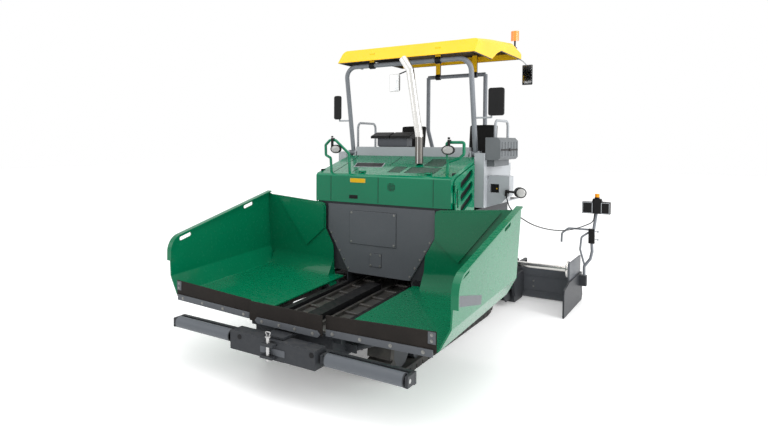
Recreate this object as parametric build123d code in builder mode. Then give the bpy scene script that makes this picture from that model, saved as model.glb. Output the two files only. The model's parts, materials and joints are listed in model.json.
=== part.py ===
from build123d import *
from math import atan2, cos, degrees, hypot, pi, radians, sin, sqrt, tan
import os

os.makedirs("parts", exist_ok=True)

# Asphalt paver on tracks, in millimetres. +X is the machine's left, +Y its rear, +Z up, ground at 0.

# Overall lengths ahead of and behind the hopper's front edge
front_reach = 330
rear_reach = 5450
hopper_front = -(rear_reach - front_reach) / 2

# Sheet of the main frame
plate = 12

# Hopper
hopper_length = 1818
wing_plate = 14
wing_pivot_x = 500
wing_pivot_z = 530
floor_slope = 0.047
floor_edge_x = 458
floor_edge_z = 592
wing_foot_x = 1492
wing_foot_z = 655
wing_crease_x = 1592
wing_crease_z = 848
wing_top_x = 1642
wing_rear_top_z = 1676
wing_front_top_z = 1255
wing_front_radius = 190
wing_back_x = 722
wing_back_top_z = 1574
rim_width = 38
wear_plate = 20
pivot_pin = 44
slot_drop = 58

# Conveyor
lane_floor_z = 470
centre_guard_width = 150
side_guard_width = 70
slat_pitch = 300
chain_height = 46

# Tractor body
body_half_width = 880
body_floor_z = 740
deck_z = 1560
wall = 14
tunnel_top_z = 990

# Tracks
track_centre_x = 680
track_width = 250
track_front_wheel_y = hopper_front + 860
track_contact = 2640
track_inner_radius = 225
track_band = 34
shoe_depth = 48
shoe_count = 44
shoe_gap = 22
tail_overhang = 540
body_rear = track_front_wheel_y + track_contact + tail_overhang

# Hood
hood_front = hopper_front + 1846
hood_skin = 16
body_front = hood_front + hood_skin
hood_half_width = body_half_width + 10
hood_bottom_z = 1588
hood_front_top_z = 1942
hood_rear_top_z = 2150
hood_rear = hopper_front + 2700
door_bottom_z = 1512

# Platform
platform_front = hopper_front + 2744
platform_rear = body_rear + 110
platform_half_width = hood_half_width + 120
rail_z = 2262

# Roof
hoop_half_width = hood_half_width - 33
hoop_tube = 60
hoop_pivot_z = 2190
hoop_bar_y = hopper_front + 2530
hoop_bar_z = 3345
hoop_bend = 150
roof_front = hopper_front + 2440
roof_rear = hopper_front + 4440
roof_half_width = 935
roof_edge_z = 3410
roof_crown = 305
post_half_width = 445
post_y = hopper_front + 4370
post_pivot_y = post_y + platform_front - hoop_bar_y
hoop_pin = 40

# Screed
screed_front = body_rear + 320
screed_depth = 440
screed_half_width = 900
screed_top_z = 500
extension_front = screed_front + screed_depth + 30
extension_depth = 340
extension_inner_x = 720
extension_outer_x = 1628
gate_front = screed_front - 410
gate_rear = screed_front + 810
gate_plate = 22
tube_z = 565
guide_tube = 80
seat_gap = 0.3


def block(x, y, z, mode=Mode.ADD):
    """A box from its three ranges."""
    with Locations(((x[0] + x[1]) / 2, (y[0] + y[1]) / 2, (z[0] + z[1]) / 2)):
        Box(x[1] - x[0], y[1] - y[0], z[1] - z[0], mode=mode)


def side_profile(points, x, mode=Mode.ADD):
    """A side view outline, given as (y, z), between two x values."""
    with BuildSketch(Plane.YZ.offset(x[0])) as outline:
        with BuildLine():
            Polyline(*points, close=True)
        make_face()
    extrude(outline.sketch, amount=x[1] - x[0], mode=mode)


def front_profile(points, y, mode=Mode.ADD):
    """A front view outline, given as (x, z), between two y values."""
    with BuildSketch(Plane.XZ.offset(-y[0])) as outline:
        with BuildLine():
            Polyline(*points, close=True)
        make_face()
    extrude(outline.sketch, amount=y[0] - y[1], mode=mode)


def rod(start, end, diameter, mode=Mode.ADD):
    """A round bar from one centre to another."""
    run = Vector(*end) - Vector(*start)
    with BuildSketch(Plane(origin=start, z_dir=run)) as section:
        Circle(diameter / 2)
    extrude(section.sketch, amount=run.length, mode=mode)


def bent_tube(points, radius, diameter):
    """A round tube along straight runs with one bend radius."""
    with BuildLine() as path:
        FilletPolyline(*points, radius=radius)
    with BuildSketch(Plane(origin=path.line @ 0, z_dir=path.line % 0)) as section:
        Circle(diameter / 2)
    sweep(section.sketch, path=path.line)


def save(part, name):
    part.label = name
    export_step(part, f"parts/{name}.step")


def floor_rise(y):
    """Height gained by the sloping hopper floor at y."""
    return floor_slope * (y - hopper_front)


sides = {"left": 1, "right": -1}

# Hopper wing on the left side: one bent plate for floor, chamfer and side wall, with its rear wall
hopper_rear = hopper_front + hopper_length
wing_bottom = 380
rise = floor_rise(hopper_rear)
top_slope = degrees(atan2(wing_rear_top_z - wing_front_top_z, hopper_length))
rim = 16
cross_rise = (wing_foot_z - floor_edge_z) / (wing_foot_x - floor_edge_x)


# Stations of the hinge sleeves and of the wing cylinder
sleeve_length = 160
wing_sleeves = (hopper_front + 150, hopper_front + 1500)
cylinder_y = hopper_front + 390
cylinder_pin = 30
wing_base_x = 530
wing_base_z = 385
wing_eye_x = 960
wing_eye_z = 572
wing_eye_y = cylinder_y - (wing_eye_z - wing_base_z) * floor_slope

# Push beam and its upright pin
push_pin = 60
tow_hole = 42
push_pin_y = hopper_front - 150
push_beam_z = (340, 516)


def floor_under(x, y):
    """Height inside the wing's floor plate, a little above its underside."""
    return floor_edge_z + cross_rise * (x - floor_edge_x) + floor_rise(y) - wing_plate + 5


def wing_outline(inset):
    """Side view of the wing as (y, z), its front top corner rounded, drawn in by an inset."""
    with BuildSketch() as outline:
        with BuildLine():
            Polyline(
                (hopper_front + inset, wing_bottom),
                (hopper_front + inset, wing_front_top_z - inset),
                (hopper_rear + 1, wing_rear_top_z - inset),
                (hopper_rear + 1, wing_bottom),
                close=True,
            )
        make_face()
        fillet(outline.vertices().group_by(Axis.X)[0].sort_by(Axis.Y)[-1], wing_front_radius)
    return outline.sketch_local


with BuildPart() as wing_left:
    with BuildSketch(Plane.XZ.offset(-hopper_front)) as trough:
        with BuildLine():
            FilletPolyline(
                (floor_edge_x, floor_edge_z),
                (wing_foot_x, wing_foot_z),
                (wing_crease_x, wing_crease_z),
                (wing_top_x, wing_rear_top_z + 60),
                radius=36,
            )
            offset(amount=wing_plate, side=Side.RIGHT)
        make_face()
    extrude(trough.sketch, amount=hypot(hopper_length, rise), dir=(0, 1, floor_slope))
    with BuildSketch(Plane.YZ) as side_view:
        add(wing_outline(0))
    extrude(side_view.sketch, amount=wing_top_x + 200, mode=Mode.INTERSECT)
    # Folded rim along the front and the sloping top
    with BuildSketch(Plane.YZ.offset(wing_top_x - 46)) as rim_band:
        add(wing_outline(0))
        add(wing_outline(rim), mode=Mode.SUBTRACT)
        with Locations((hopper_front + hopper_length / 2, 560)):
            Rectangle(2 * hopper_length, 900, mode=Mode.SUBTRACT)
    extrude(rim_band.sketch, amount=rim_width + 26)
    # Rear wall, its inner edge following the back plate's wear strip
    front_profile(
        [
            (590, floor_edge_z + rise + 2),
            (wing_foot_x + 4, wing_foot_z + rise - 8),
            (wing_crease_x + 8, wing_crease_z + rise - 2),
            (wing_top_x - 2, wing_rear_top_z - 16),
            (wing_top_x - 60, 1634),
            (wing_back_x + 60, wing_back_top_z),
            (wing_back_x + 16, wing_back_top_z - 16),
            (wing_back_x, wing_back_top_z - 60),
            (wing_back_x, 1245),
            (610, 1040),
        ],
        (hopper_rear - wing_plate, hopper_rear),
    )
    # Wear plate on the upper part of the rear wall
    front_profile(
        [
            (wing_back_x + 14, wing_back_top_z - 330),
            (996, 1009),
            (1451, 1595),
            (wing_back_x + 70, wing_back_top_z - 24),
            (wing_back_x + 30, wing_back_top_z - 40),
            (wing_back_x + 14, wing_back_top_z - 70),
        ],
        (hopper_rear - wing_plate - wear_plate, hopper_rear - wing_plate + 1),
    )
    # Slanted plate along the foot of the rear wall
    foot_y = hopper_rear - 140
    foot_z = floor_edge_z + rise + 6
    with BuildSketch(Plane.YZ.offset(600)) as corner_plate:
        with BuildLine():
            Polyline(
                (foot_y, foot_z - 4),
                (hopper_rear - 4, foot_z),
                (hopper_rear - 4, foot_z + 205),
                close=True,
            )
        make_face()
    extrude(corner_plate.sketch, amount=905, dir=(1, 0, cross_rise))
    # Lifting slots near the top edge
    for slot_y in (hopper_front + 240, hopper_front + 1370):
        slot_z = wing_front_top_z + (slot_y - hopper_front) * tan(radians(top_slope)) - slot_drop
        with BuildSketch(Plane.YZ.offset(wing_top_x - 80)) as slot:
            with Locations(Location((slot_y, slot_z), top_slope)):
                SlotOverall(190, 44)
        extrude(slot.sketch, amount=160, mode=Mode.SUBTRACT)
    # Hinge sleeves under the inner floor edge, each with its web
    for start in wing_sleeves:
        end = start + sleeve_length
        start_z = wing_pivot_z + floor_rise(start)
        end_z = wing_pivot_z + floor_rise(end)
        rod((wing_pivot_x, start, start_z), (wing_pivot_x, end, end_z), 72)
        block((wing_pivot_x - 14, wing_pivot_x + 14), (start, end), (start_z + 20, start_z + 66))
    # Lug under the floor that carries the cylinder's eye
    for lug_y in (wing_eye_y - 60, wing_eye_y + 36):
        front_profile(
            [
                (wing_eye_x - 70, floor_under(wing_eye_x - 70, lug_y)),
                (wing_eye_x - 30, wing_eye_z - 34),
                (wing_eye_x + 30, wing_eye_z - 34),
                (wing_eye_x + 70, floor_under(wing_eye_x + 70, lug_y)),
            ],
            (lug_y, lug_y + 24),
        )
    rod(
        (wing_eye_x, wing_eye_y - 60, wing_eye_z - 60 * floor_slope),
        (wing_eye_x, wing_eye_y + 60, wing_eye_z + 60 * floor_slope),
        cylinder_pin,
    )
    rod(
        (wing_pivot_x, hopper_front - 40, wing_pivot_z + floor_rise(hopper_front - 40)),
        (wing_pivot_x, hopper_rear + 40, wing_pivot_z + floor_rise(hopper_rear + 40)),
        pivot_pin + 0.1,
        mode=Mode.SUBTRACT,
    )
save(wing_left.part, "wing_left")

with BuildPart() as wing_right:
    mirror(wing_left.part, about=Plane.YZ)
save(wing_right.part, "wing_right")

# Rubber flaps along the hopper's front, the side ones on the wings with their clamping bars
flap_thickness = 14
bar_thickness = 14
flap_back = hopper_front - 0.2
bar_back = flap_back - flap_thickness

with BuildPart() as flap_left:
    front_profile([(440, 596), (1486, 640), (1486, 815), (440, 764)], (flap_back - flap_thickness, flap_back))
with BuildPart() as flap_right:
    mirror(flap_left.part, about=Plane.YZ)
with BuildPart() as flap_bar_left:
    front_profile([(449, 578), (1462, 604), (1462, 666), (449, 640)], (bar_back - bar_thickness, bar_back))
with BuildPart() as flap_bar_right:
    mirror(flap_bar_left.part, about=Plane.YZ)

# The centre flap hangs in front of them on the cross member
centre_flap_back = bar_back - bar_thickness - 6
with BuildPart() as flap_centre:
    front_profile(
        [(-425, 575), (425, 575), (425, 764), (-425, 764)],
        (centre_flap_back - flap_thickness, centre_flap_back),
    )
with BuildPart() as flap_bar_centre:
    front_profile(
        [(-320, 560), (380, 560), (410, 590), (380, 622), (-320, 622), (-350, 590)],
        (centre_flap_back - flap_thickness - bar_thickness, centre_flap_back - flap_thickness),
    )
save(flap_left.part, "flap_left")
save(flap_right.part, "flap_right")
save(flap_bar_left.part, "flap_bar_left")
save(flap_bar_right.part, "flap_bar_right")
save(flap_centre.part, "flap_centre")
save(flap_bar_centre.part, "flap_bar_centre")

# Main frame: longitudinal beams, cross tubes to the track frames, body walls with the conveyor tunnel
beam_x = (422, 452)
beam_front = hopper_front + 90
beam_rear = body_rear - 92
beam_z = (300, 520)
cross_tube = 110
cross_tube_z = 350
cross_tube_ys = (hopper_front + 1500, hopper_front + 2860)
tunnel_wall = 15
flap_carrier = 340
with BuildPart() as main_frame:
    block(beam_x, (beam_front, beam_rear), beam_z)
    # Body side wall, front and rear bulkheads
    wall_x = (body_half_width - plate, body_half_width)
    block(wall_x, (body_front, body_rear), (body_floor_z, door_bottom_z - 8))
    block((beam_x[0], body_half_width), (body_front, body_front + plate), (body_floor_z, hood_bottom_z - 30))
    block((beam_x[0], body_half_width), (body_rear - plate, body_rear), (body_floor_z, deck_z - wall))
    # Tunnel wall from the beams up to the tunnel roof
    block(beam_x[:1] + (beam_x[0] + tunnel_wall,), (body_front, body_rear), (beam_z[1], tunnel_top_z))
    block((beam_x[0], body_half_width), (body_front, body_rear), (body_floor_z, body_floor_z + plate))
    mirror(about=Plane.YZ)
    block((-beam_x[1], beam_x[1]), (body_front, body_rear), (tunnel_top_z, tunnel_top_z + plate))
    block((-beam_x[1], beam_x[1]), (body_front, body_front + plate), (tunnel_top_z, hood_bottom_z + 50))
    block(
        (30 - body_half_width, body_half_width - 30),
        (body_front, body_front + plate),
        (hood_bottom_z - 31, hood_bottom_z + 50),
    )
    block((-beam_x[1], beam_x[1]), (body_rear - plate, body_rear), (tunnel_top_z, deck_z - wall))
    # Front cross member that carries the centre flap and the push beam's pivot plates
    block((-beam_x[1], beam_x[1]), (beam_front, beam_front + 20), beam_z)
    block((7 - beam_x[0], beam_x[0] - 7), (beam_front, beam_front + 20), (beam_z[0], 556))
    block((-flap_carrier, flap_carrier), (centre_flap_back + 0.2, beam_front + 20), (556, 568))
    block((-flap_carrier, flap_carrier), (centre_flap_back + 0.2, centre_flap_back + 12), (556, 640))
    # Forked plates that hold the push beam's upright pin
    for plate_z in (push_beam_z[0] - 26, push_beam_z[1] + 6):
        block((-110, 110), (push_pin_y - 60, beam_front), (plate_z, plate_z + 20))
    rod((0, push_pin_y, push_beam_z[0] - 26), (0, push_pin_y, push_beam_z[1] + 26), push_pin)
    # Hinge pins for the wings, held by lugs at both ends of each sleeve
    for sleeve_y in wing_sleeves:
        for side in (1, -1):
            pin_start = sleeve_y - 40
            pin_end = sleeve_y + sleeve_length + 40
            rod(
                (side * wing_pivot_x, pin_start, wing_pivot_z + floor_rise(pin_start)),
                (side * wing_pivot_x, pin_end, wing_pivot_z + floor_rise(pin_end)),
                pivot_pin,
            )
            for lug_y in (sleeve_y - 36, sleeve_y + sleeve_length + 6):
                lug_z = wing_pivot_z + floor_rise(lug_y)
                lug_outline = [
                    (wing_pivot_x + 26, beam_z[1] - 40),
                    (wing_pivot_x + 26, lug_z + 26),
                    (wing_pivot_x - 30, lug_z + 26),
                    (wing_pivot_x - 66, lug_z - 10),
                    (wing_pivot_x - 66, beam_z[1] - 40),
                ]
                front_profile([(side * x, z) for x, z in lug_outline], (lug_y, lug_y + 30))
    # Base lugs of the wing cylinders
    for side in (1, -1):
        for lug_y in (cylinder_y - 64, cylinder_y + 46):
            lug_x = sorted((side * (beam_x[1] - 4), side * (wing_base_x + 36)))
            block(lug_x, (lug_y, lug_y + 18), (wing_base_z - 42, wing_base_z + 36))
        rod(
            (side * wing_base_x, cylinder_y - 64, wing_base_z - 64 * floor_slope),
            (side * wing_base_x, cylinder_y + 64, wing_base_z + 64 * floor_slope),
            cylinder_pin,
        )
    for cross_y in cross_tube_ys:
        cross_end = track_centre_x - 58
        rod((-cross_end, cross_y, cross_tube_z), (cross_end, cross_y, cross_tube_z), cross_tube)
save(main_frame.part, "main_frame")

# Wing cylinders, square to the sloping hinge line
eye_clearance = 12
bore_share = 0.78
piston_length = 40
piston_play = 0.05
barrel_diameter = 76
rod_diameter = 40


def cylinder_barrel(base, end, pin, length, diameter, width):
    """Barrel from its base pin towards the eye, with its own pin hole."""
    run = (Vector(*end) - Vector(*base)).normalized()
    cross = Vector(1, 0, 0) if abs(run.X) < 0.1 else Vector(0, 1, floor_slope).normalized()
    rod(base, tuple(Vector(*base) + run * length), diameter)
    base = Vector(*base)
    rod(tuple(base - cross * (width / 2)), tuple(base + cross * (width / 2)), pin * 2.2)
    rod(tuple(base - cross * width), tuple(base + cross * width), pin + 0.1, mode=Mode.SUBTRACT)
    rod(
        tuple(base + run * (pin * 1.6)),
        tuple(base + run * (length + 1)),
        diameter * bore_share,
        mode=Mode.SUBTRACT,
    )


def cylinder_rod(base, end, start, hole, diameter, barrel, width):
    """Rod with its piston, that runs in the barrel, and with a wide eye at the end."""
    run = (Vector(*end) - Vector(*base)).normalized()
    cross = Vector(1, 0, 0) if abs(run.X) < 0.1 else Vector(0, 1, floor_slope).normalized()
    rod(tuple(Vector(*base) + run * start), tuple(Vector(*end) - run * (hole / 2)), diameter)
    piston = Vector(*base) + run * start
    rod(tuple(piston), tuple(piston + run * piston_length), barrel * bore_share - 2 * piston_play)
    rod(tuple(Vector(*end) - cross * (width / 2)), tuple(Vector(*end) + cross * (width / 2)), hole + 24)
    rod(tuple(Vector(*end) - cross * width), tuple(Vector(*end) + cross * width), hole, mode=Mode.SUBTRACT)


wing_base = (wing_base_x, cylinder_y, wing_base_z)
wing_eye = (wing_eye_x, wing_eye_y, wing_eye_z)
with BuildPart() as wing_barrel_left:
    cylinder_barrel(wing_base, wing_eye, cylinder_pin, 360, barrel_diameter, 60)
with BuildPart() as wing_rod_left:
    eye_hole = cylinder_pin + 2 * eye_clearance
    cylinder_rod(wing_base, wing_eye, 130, eye_hole, rod_diameter, barrel_diameter, 60)
with BuildPart() as wing_barrel_right:
    mirror(wing_barrel_left.part, about=Plane.YZ)
with BuildPart() as wing_rod_right:
    mirror(wing_rod_left.part, about=Plane.YZ)
save(wing_barrel_left.part, "wing_barrel_left")
save(wing_rod_left.part, "wing_rod_left")
save(wing_barrel_right.part, "wing_barrel_right")
save(wing_rod_right.part, "wing_rod_right")

# Engine, one plain block on the tunnel roof
with BuildPart() as engine_block:
    block((-420, 420), (hopper_front + 1960, hopper_front + 2660), (tunnel_top_z + plate, 1760))
save(engine_block.part, "engine_block")

# Tracks: each one fixed loop, its shoes standing out of the band
wheel_z = shoe_depth + track_band + track_inner_radius
loop_length = 2 * track_contact + 2 * pi * track_inner_radius
arc_length = loop_length / 2 - track_contact


def loop_point(travel, height):
    """A point (y, z) at a distance along the loop and a height over the band's inner face."""
    radius = track_inner_radius + height
    travel = travel % loop_length
    if travel < track_contact:
        return (track_front_wheel_y + travel, wheel_z - radius)
    if travel < track_contact + arc_length:
        turn = (travel - track_contact) / track_inner_radius
        return (track_front_wheel_y + track_contact + radius * sin(turn), wheel_z - radius * cos(turn))
    if travel < 2 * track_contact + arc_length:
        return (track_front_wheel_y + 2 * track_contact + arc_length - travel, wheel_z + radius)
    turn = (travel - 2 * track_contact - arc_length) / track_inner_radius
    return (track_front_wheel_y - radius * sin(turn), wheel_z + radius * cos(turn))


shoe_pitch = loop_length / shoe_count
outer_loop = []
inner_loop = []
for shoe in range(shoe_count):
    lead = shoe * shoe_pitch + shoe_gap / 2
    trail = (shoe + 1) * shoe_pitch - shoe_gap / 2
    outer_loop += [
        loop_point(lead, track_band),
        loop_point(lead, track_band + shoe_depth),
        loop_point(trail, track_band + shoe_depth),
        loop_point(trail, track_band),
    ]
    inner_loop += [loop_point(lead, 0), loop_point(trail, 0)]

track_inside_x = track_centre_x - track_width / 2
with BuildPart() as track_left:
    side_profile(outer_loop, (track_inside_x, track_inside_x + track_width))
    side_profile(inner_loop, (track_inside_x, track_inside_x + track_width), mode=Mode.SUBTRACT)
with BuildPart() as track_right:
    mirror(track_left.part, about=Plane.YZ)
save(track_left.part, "track_left")
save(track_right.part, "track_right")

# Track frames: beam, sprocket, idler and rollers on fixed axles
wheel_radius = track_inner_radius - 14
roller_radius = 78
roller_count = 6
wheel_half_width = 88
frame_beam_half = 58
with BuildPart() as track_frames:
    rear_wheel_y = track_front_wheel_y + track_contact
    block(
        (track_centre_x - frame_beam_half, track_centre_x + frame_beam_half),
        (track_front_wheel_y, rear_wheel_y),
        (wheel_z - 110, wheel_z + 95),
    )
    for wheel_y in (track_front_wheel_y, rear_wheel_y):
        rod(
            (track_centre_x - wheel_half_width, wheel_y, wheel_z),
            (track_centre_x + wheel_half_width, wheel_y, wheel_z),
            2 * wheel_radius,
        )
    for index in range(roller_count):
        roller_y = track_front_wheel_y + (index + 1) * track_contact / (roller_count + 1)
        roller_z = shoe_depth + track_band + roller_radius + 0.3
        rod(
            (track_centre_x - wheel_half_width, roller_y, roller_z),
            (track_centre_x + wheel_half_width, roller_y, roller_z),
            2 * roller_radius,
        )
    mirror(about=Plane.YZ)
save(track_frames.part, "track_frames")

# Conveyor: floor of both lanes, chains with slats, guards
conveyor_front = beam_front - 60
conveyor_rear = body_rear + 40
lane_inner_x = centre_guard_width / 2
lane_outer_x = beam_x[0] - 2
floor_sheet = 16


def sloped_bar(x, y, height, thickness, mode=Mode.ADD):
    """A bar along Y that follows the conveyor's slope, its underside at a height over the hopper's front."""
    side_profile(
        [
            (y[0], height + floor_rise(y[0])),
            (y[1], height + floor_rise(y[1])),
            (y[1], height + thickness + floor_rise(y[1])),
            (y[0], height + thickness + floor_rise(y[0])),
        ],
        x,
        mode=mode,
    )


with BuildPart() as conveyor_floor:
    sloped_bar((-lane_outer_x, lane_outer_x), (beam_front + 20, conveyor_rear), lane_floor_z, floor_sheet)
save(conveyor_floor.part, "conveyor_floor")

chain_z = lane_floor_z + floor_sheet
chain_size = 34
chain_x = (lane_inner_x + 22, lane_outer_x - side_guard_width - 42)
with BuildPart() as conveyor_slats:
    for chain_start in chain_x:
        sloped_bar(
            (chain_start, chain_start + chain_size),
            (beam_front + 60, conveyor_rear - 40),
            chain_z,
            chain_size,
        )
    slat_y = beam_front + 160
    while slat_y < conveyor_rear - 120:
        sloped_bar((chain_x[0], chain_x[1] + chain_size), (slat_y, slat_y + 45), chain_z, 22)
        slat_y += slat_pitch
    mirror(about=Plane.YZ)
save(conveyor_slats.part, "conveyor_slats")

guard_rear = hopper_rear - 40
with BuildPart() as conveyor_guards:
    sloped_bar((-lane_inner_x, lane_inner_x), (beam_front + 22, guard_rear), chain_z, 86)
    for side in (1, -1):
        guard_x = sorted((side * (lane_outer_x - side_guard_width), side * lane_outer_x))
        sloped_bar(guard_x, (beam_front + 22, guard_rear), chain_z, 66)
save(conveyor_guards.part, "conveyor_guards")

# Grey back plate of the hopper with its two covers
back_plate_front = hood_front
with BuildPart() as centre_plate:
    front_profile(
        [(-705, 1560), (705, 1560), (705, 1240), (410, 722), (-410, 722), (-705, 1240)],
        (back_plate_front, body_front),
    )
    block((-390, 232), (back_plate_front - 8, back_plate_front), (1085, 1492))
    block((-112, 42), (back_plate_front - 8, back_plate_front), (830, 990))
save(centre_plate.part, "centre_plate")

# Hood: shell with openings for the lid and the two side doors
hood_outline = [
    (hood_front, hood_bottom_z),
    (hood_front, hood_front_top_z - 30),
    (hood_front + 30, hood_front_top_z),
    (hood_rear, hood_rear_top_z),
    (hood_rear, hood_bottom_z),
]
lid_x = (-420, hood_half_width - 150)
lid_y = (hood_front + 84, hood_front + 400)
door_y = (hood_front + 70, hood_front + 742)
hood_rise = (hood_rear_top_z - hood_front_top_z) / (hood_rear - hood_front - 30)


def hood_top(y):
    """Height of the hood's sloping top."""
    return hood_front_top_z + hood_rise * (y - hood_front - 30)


rail_tube = 34
loop_link = 26
loop_y = hood_front + 110
loop_foot = hood_top(loop_y) - hood_skin / 2
right_loop = [
    (160 - hood_half_width, loop_foot),
    (147 - hood_half_width, 2130),
    (75 - hood_half_width, 2165),
    (70 - hood_half_width, 2295),
    (133 - hood_half_width, 2355),
    (220 - hood_half_width, 2355),
    (416 - hood_half_width, 2188),
    (428 - hood_half_width, loop_foot),
]
left_loop = [
    (hood_half_width - 90, loop_foot),
    (hood_half_width - 79, 2109),
    (hood_half_width + 58, 2157),
    (hood_half_width + 103, 2200),
    (hood_half_width + 103, 2330),
    (hood_half_width - 93, 2330),
    (hood_half_width - 100, 2220),
]
lid_sleeves = (-300, 560)
grille_pitch = 42
grille_slot = 24
grille_x = (385, 610)
lid_grilles = ((48, 196), (268, 630))
hinge_pin = 12
hinge_sleeve = 24
sleeve_span = 60
lid_hinge_y = lid_y[0] - 4
door_sleeves = (1580, 1780)
door_hinge = (hood_half_width + 24, door_y[0] - 6)


def door_outline(inset):
    """Side view of the louvred door as (y, z), drawn in by an inset."""
    return [
        (door_y[0] + inset, door_bottom_z + inset),
        (door_y[0] + inset, hood_top(door_y[0]) - 62 - inset),
        (door_y[0] + 60 + inset, hood_top(door_y[0]) - 22 - inset),
        (door_y[1] - inset, hood_top(door_y[1]) - 42 - inset),
        (door_y[1] - inset, door_bottom_z + inset),
    ]


lid_hinge_z = hood_top(lid_hinge_y) + 16
with BuildPart() as hood_surround:
    side_profile(hood_outline, (-hood_half_width, hood_half_width))
    inner = [
        (hood_front + hood_skin, hood_bottom_z - 1),
        (hood_front + hood_skin, hood_front_top_z - 30 - hood_skin),
        (hood_front + 30 + hood_skin, hood_front_top_z - hood_skin),
        (hood_rear - hood_skin, hood_rear_top_z - hood_skin - 4),
        (hood_rear - hood_skin, hood_bottom_z - 1),
    ]
    side_profile(inner, (-hood_half_width + hood_skin, hood_half_width - hood_skin), mode=Mode.SUBTRACT)
    block(lid_x, lid_y, (hood_front_top_z - 60, hood_rear_top_z + 60), mode=Mode.SUBTRACT)
    for side in (1, -1):
        side_x = sorted((side * (hood_half_width - 40), side * (hood_half_width + 40)))
        side_profile(door_outline(0), side_x, mode=Mode.SUBTRACT)
    # Guard loops for the front lamps
    for loop in (right_loop, left_loop):
        bent_tube([(x, loop_y, z) for x, z in loop], 24, rail_tube)
    link_top = (left_loop[-1][0] + 2, loop_y, left_loop[-1][1] + 40)
    rod(link_top, (left_loop[1][0] - 5, loop_y, left_loop[1][1] - 8), loop_link)
    # Slots of the air grille behind the lid
    for index in range(7):
        slot_y = hood_front + 440 + index * grille_pitch
        slot_z = hood_top(slot_y)
        block(grille_x, (slot_y, slot_y + grille_slot), (slot_z - 40, slot_z + 20), mode=Mode.SUBTRACT)
    # Hinge pins for the lid and the two side doors, each between two lugs
    for start in lid_sleeves:
        pin_x = (start - 14, start + sleeve_span + 14)
        rod((pin_x[0], lid_hinge_y, lid_hinge_z), (pin_x[1], lid_hinge_y, lid_hinge_z), hinge_pin)
        lug_y = (lid_hinge_y - 12, lid_hinge_y + 4)
        for lug_x in (start - 14, start + sleeve_span + 6):
            block((lug_x, lug_x + 8), lug_y, (lid_hinge_z - 26, lid_hinge_z + 10))
    for side in (1, -1):
        hinge_x = side * door_hinge[0]
        for start in door_sleeves:
            pin_z = (start - 14, start + sleeve_span + 14)
            rod((hinge_x, door_hinge[1], pin_z[0]), (hinge_x, door_hinge[1], pin_z[1]), hinge_pin)
            for lug_z in (start - 14, start + sleeve_span + 6):
                lug_x = sorted((side * (hood_half_width - 1), side * (door_hinge[0] + 10)))
                block(lug_x, (door_hinge[1] - 12, door_hinge[1] + 4), (lug_z, lug_z + 8))
save(hood_surround.part, "hood_surround")

# Hood lid on a hinge along its front edge
lid_gap = 6
lid_thickness = 14
with BuildPart() as hood_lid:
    side_profile(
        [
            (lid_y[0] + lid_gap, hood_top(lid_y[0] + lid_gap) - lid_thickness),
            (lid_y[0] + lid_gap, hood_top(lid_y[0] + lid_gap)),
            (lid_y[1] - lid_gap, hood_top(lid_y[1] - lid_gap)),
            (lid_y[1] - lid_gap, hood_top(lid_y[1] - lid_gap) - lid_thickness),
        ],
        (lid_x[0] + lid_gap, lid_x[1] - lid_gap),
    )
    # Slots of the air grilles
    for slot_x in lid_grilles:
        for index in range(5):
            slot_y = lid_y[0] + 72 + index * grille_pitch
            slot_z = hood_top(slot_y)
            block(slot_x, (slot_y, slot_y + grille_slot), (slot_z - 40, slot_z + 20), mode=Mode.SUBTRACT)
    # Sleeves on the hinge pins, with the arms that carry the lid
    for start in lid_sleeves:
        sleeve_x = (start, start + sleeve_span)
        rod((sleeve_x[0], lid_hinge_y, lid_hinge_z), (sleeve_x[1], lid_hinge_y, lid_hinge_z), hinge_sleeve)
        block(sleeve_x, (lid_hinge_y, lid_y[0] + 50), (lid_hinge_z + 2, lid_hinge_z + 10))
        block(sleeve_x, (lid_y[0] + 20, lid_y[0] + 50), (lid_hinge_z - 14, lid_hinge_z + 10))
        pin_ends = (sleeve_x[0] - 1, sleeve_x[1] + 1)
        rod(
            (pin_ends[0], lid_hinge_y, lid_hinge_z),
            (pin_ends[1], lid_hinge_y, lid_hinge_z),
            hinge_pin + 0.1,
            mode=Mode.SUBTRACT,
        )
save(hood_lid.part, "hood_lid")

# Louvred side doors on upright hinges at their front edges
door_thickness = 26
door_gap = 6
door_x = (hood_half_width - 14, hood_half_width - 14 + door_thickness)
louvre_count = 3
with BuildPart() as side_door_left:
    side_profile(door_outline(door_gap), door_x)
    for index in range(louvre_count):
        louvre_z = door_bottom_z + 110 + index * 140
        with BuildSketch(Plane.YZ.offset(door_x[0] - 1)) as louvre:
            with Locations(Location((door_y[0] + 400, louvre_z), 22)):
                SlotOverall(430, 92)
        extrude(louvre.sketch, amount=door_thickness + 2, mode=Mode.SUBTRACT)
    for start in door_sleeves:
        sleeve_z = (start, start + sleeve_span)
        rod((*door_hinge, sleeve_z[0]), (*door_hinge, sleeve_z[1]), hinge_sleeve)
        block((door_x[1] - 2, door_hinge[0] + 4), (door_hinge[1], door_y[0] + 44), sleeve_z)
        hole = hinge_pin + 0.1
        rod((*door_hinge, sleeve_z[0] - 1), (*door_hinge, sleeve_z[1] + 1), hole, mode=Mode.SUBTRACT)
with BuildPart() as side_door_right:
    mirror(side_door_left.part, about=Plane.YZ)
save(side_door_left.part, "side_door_left")
save(side_door_right.part, "side_door_right")

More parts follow.
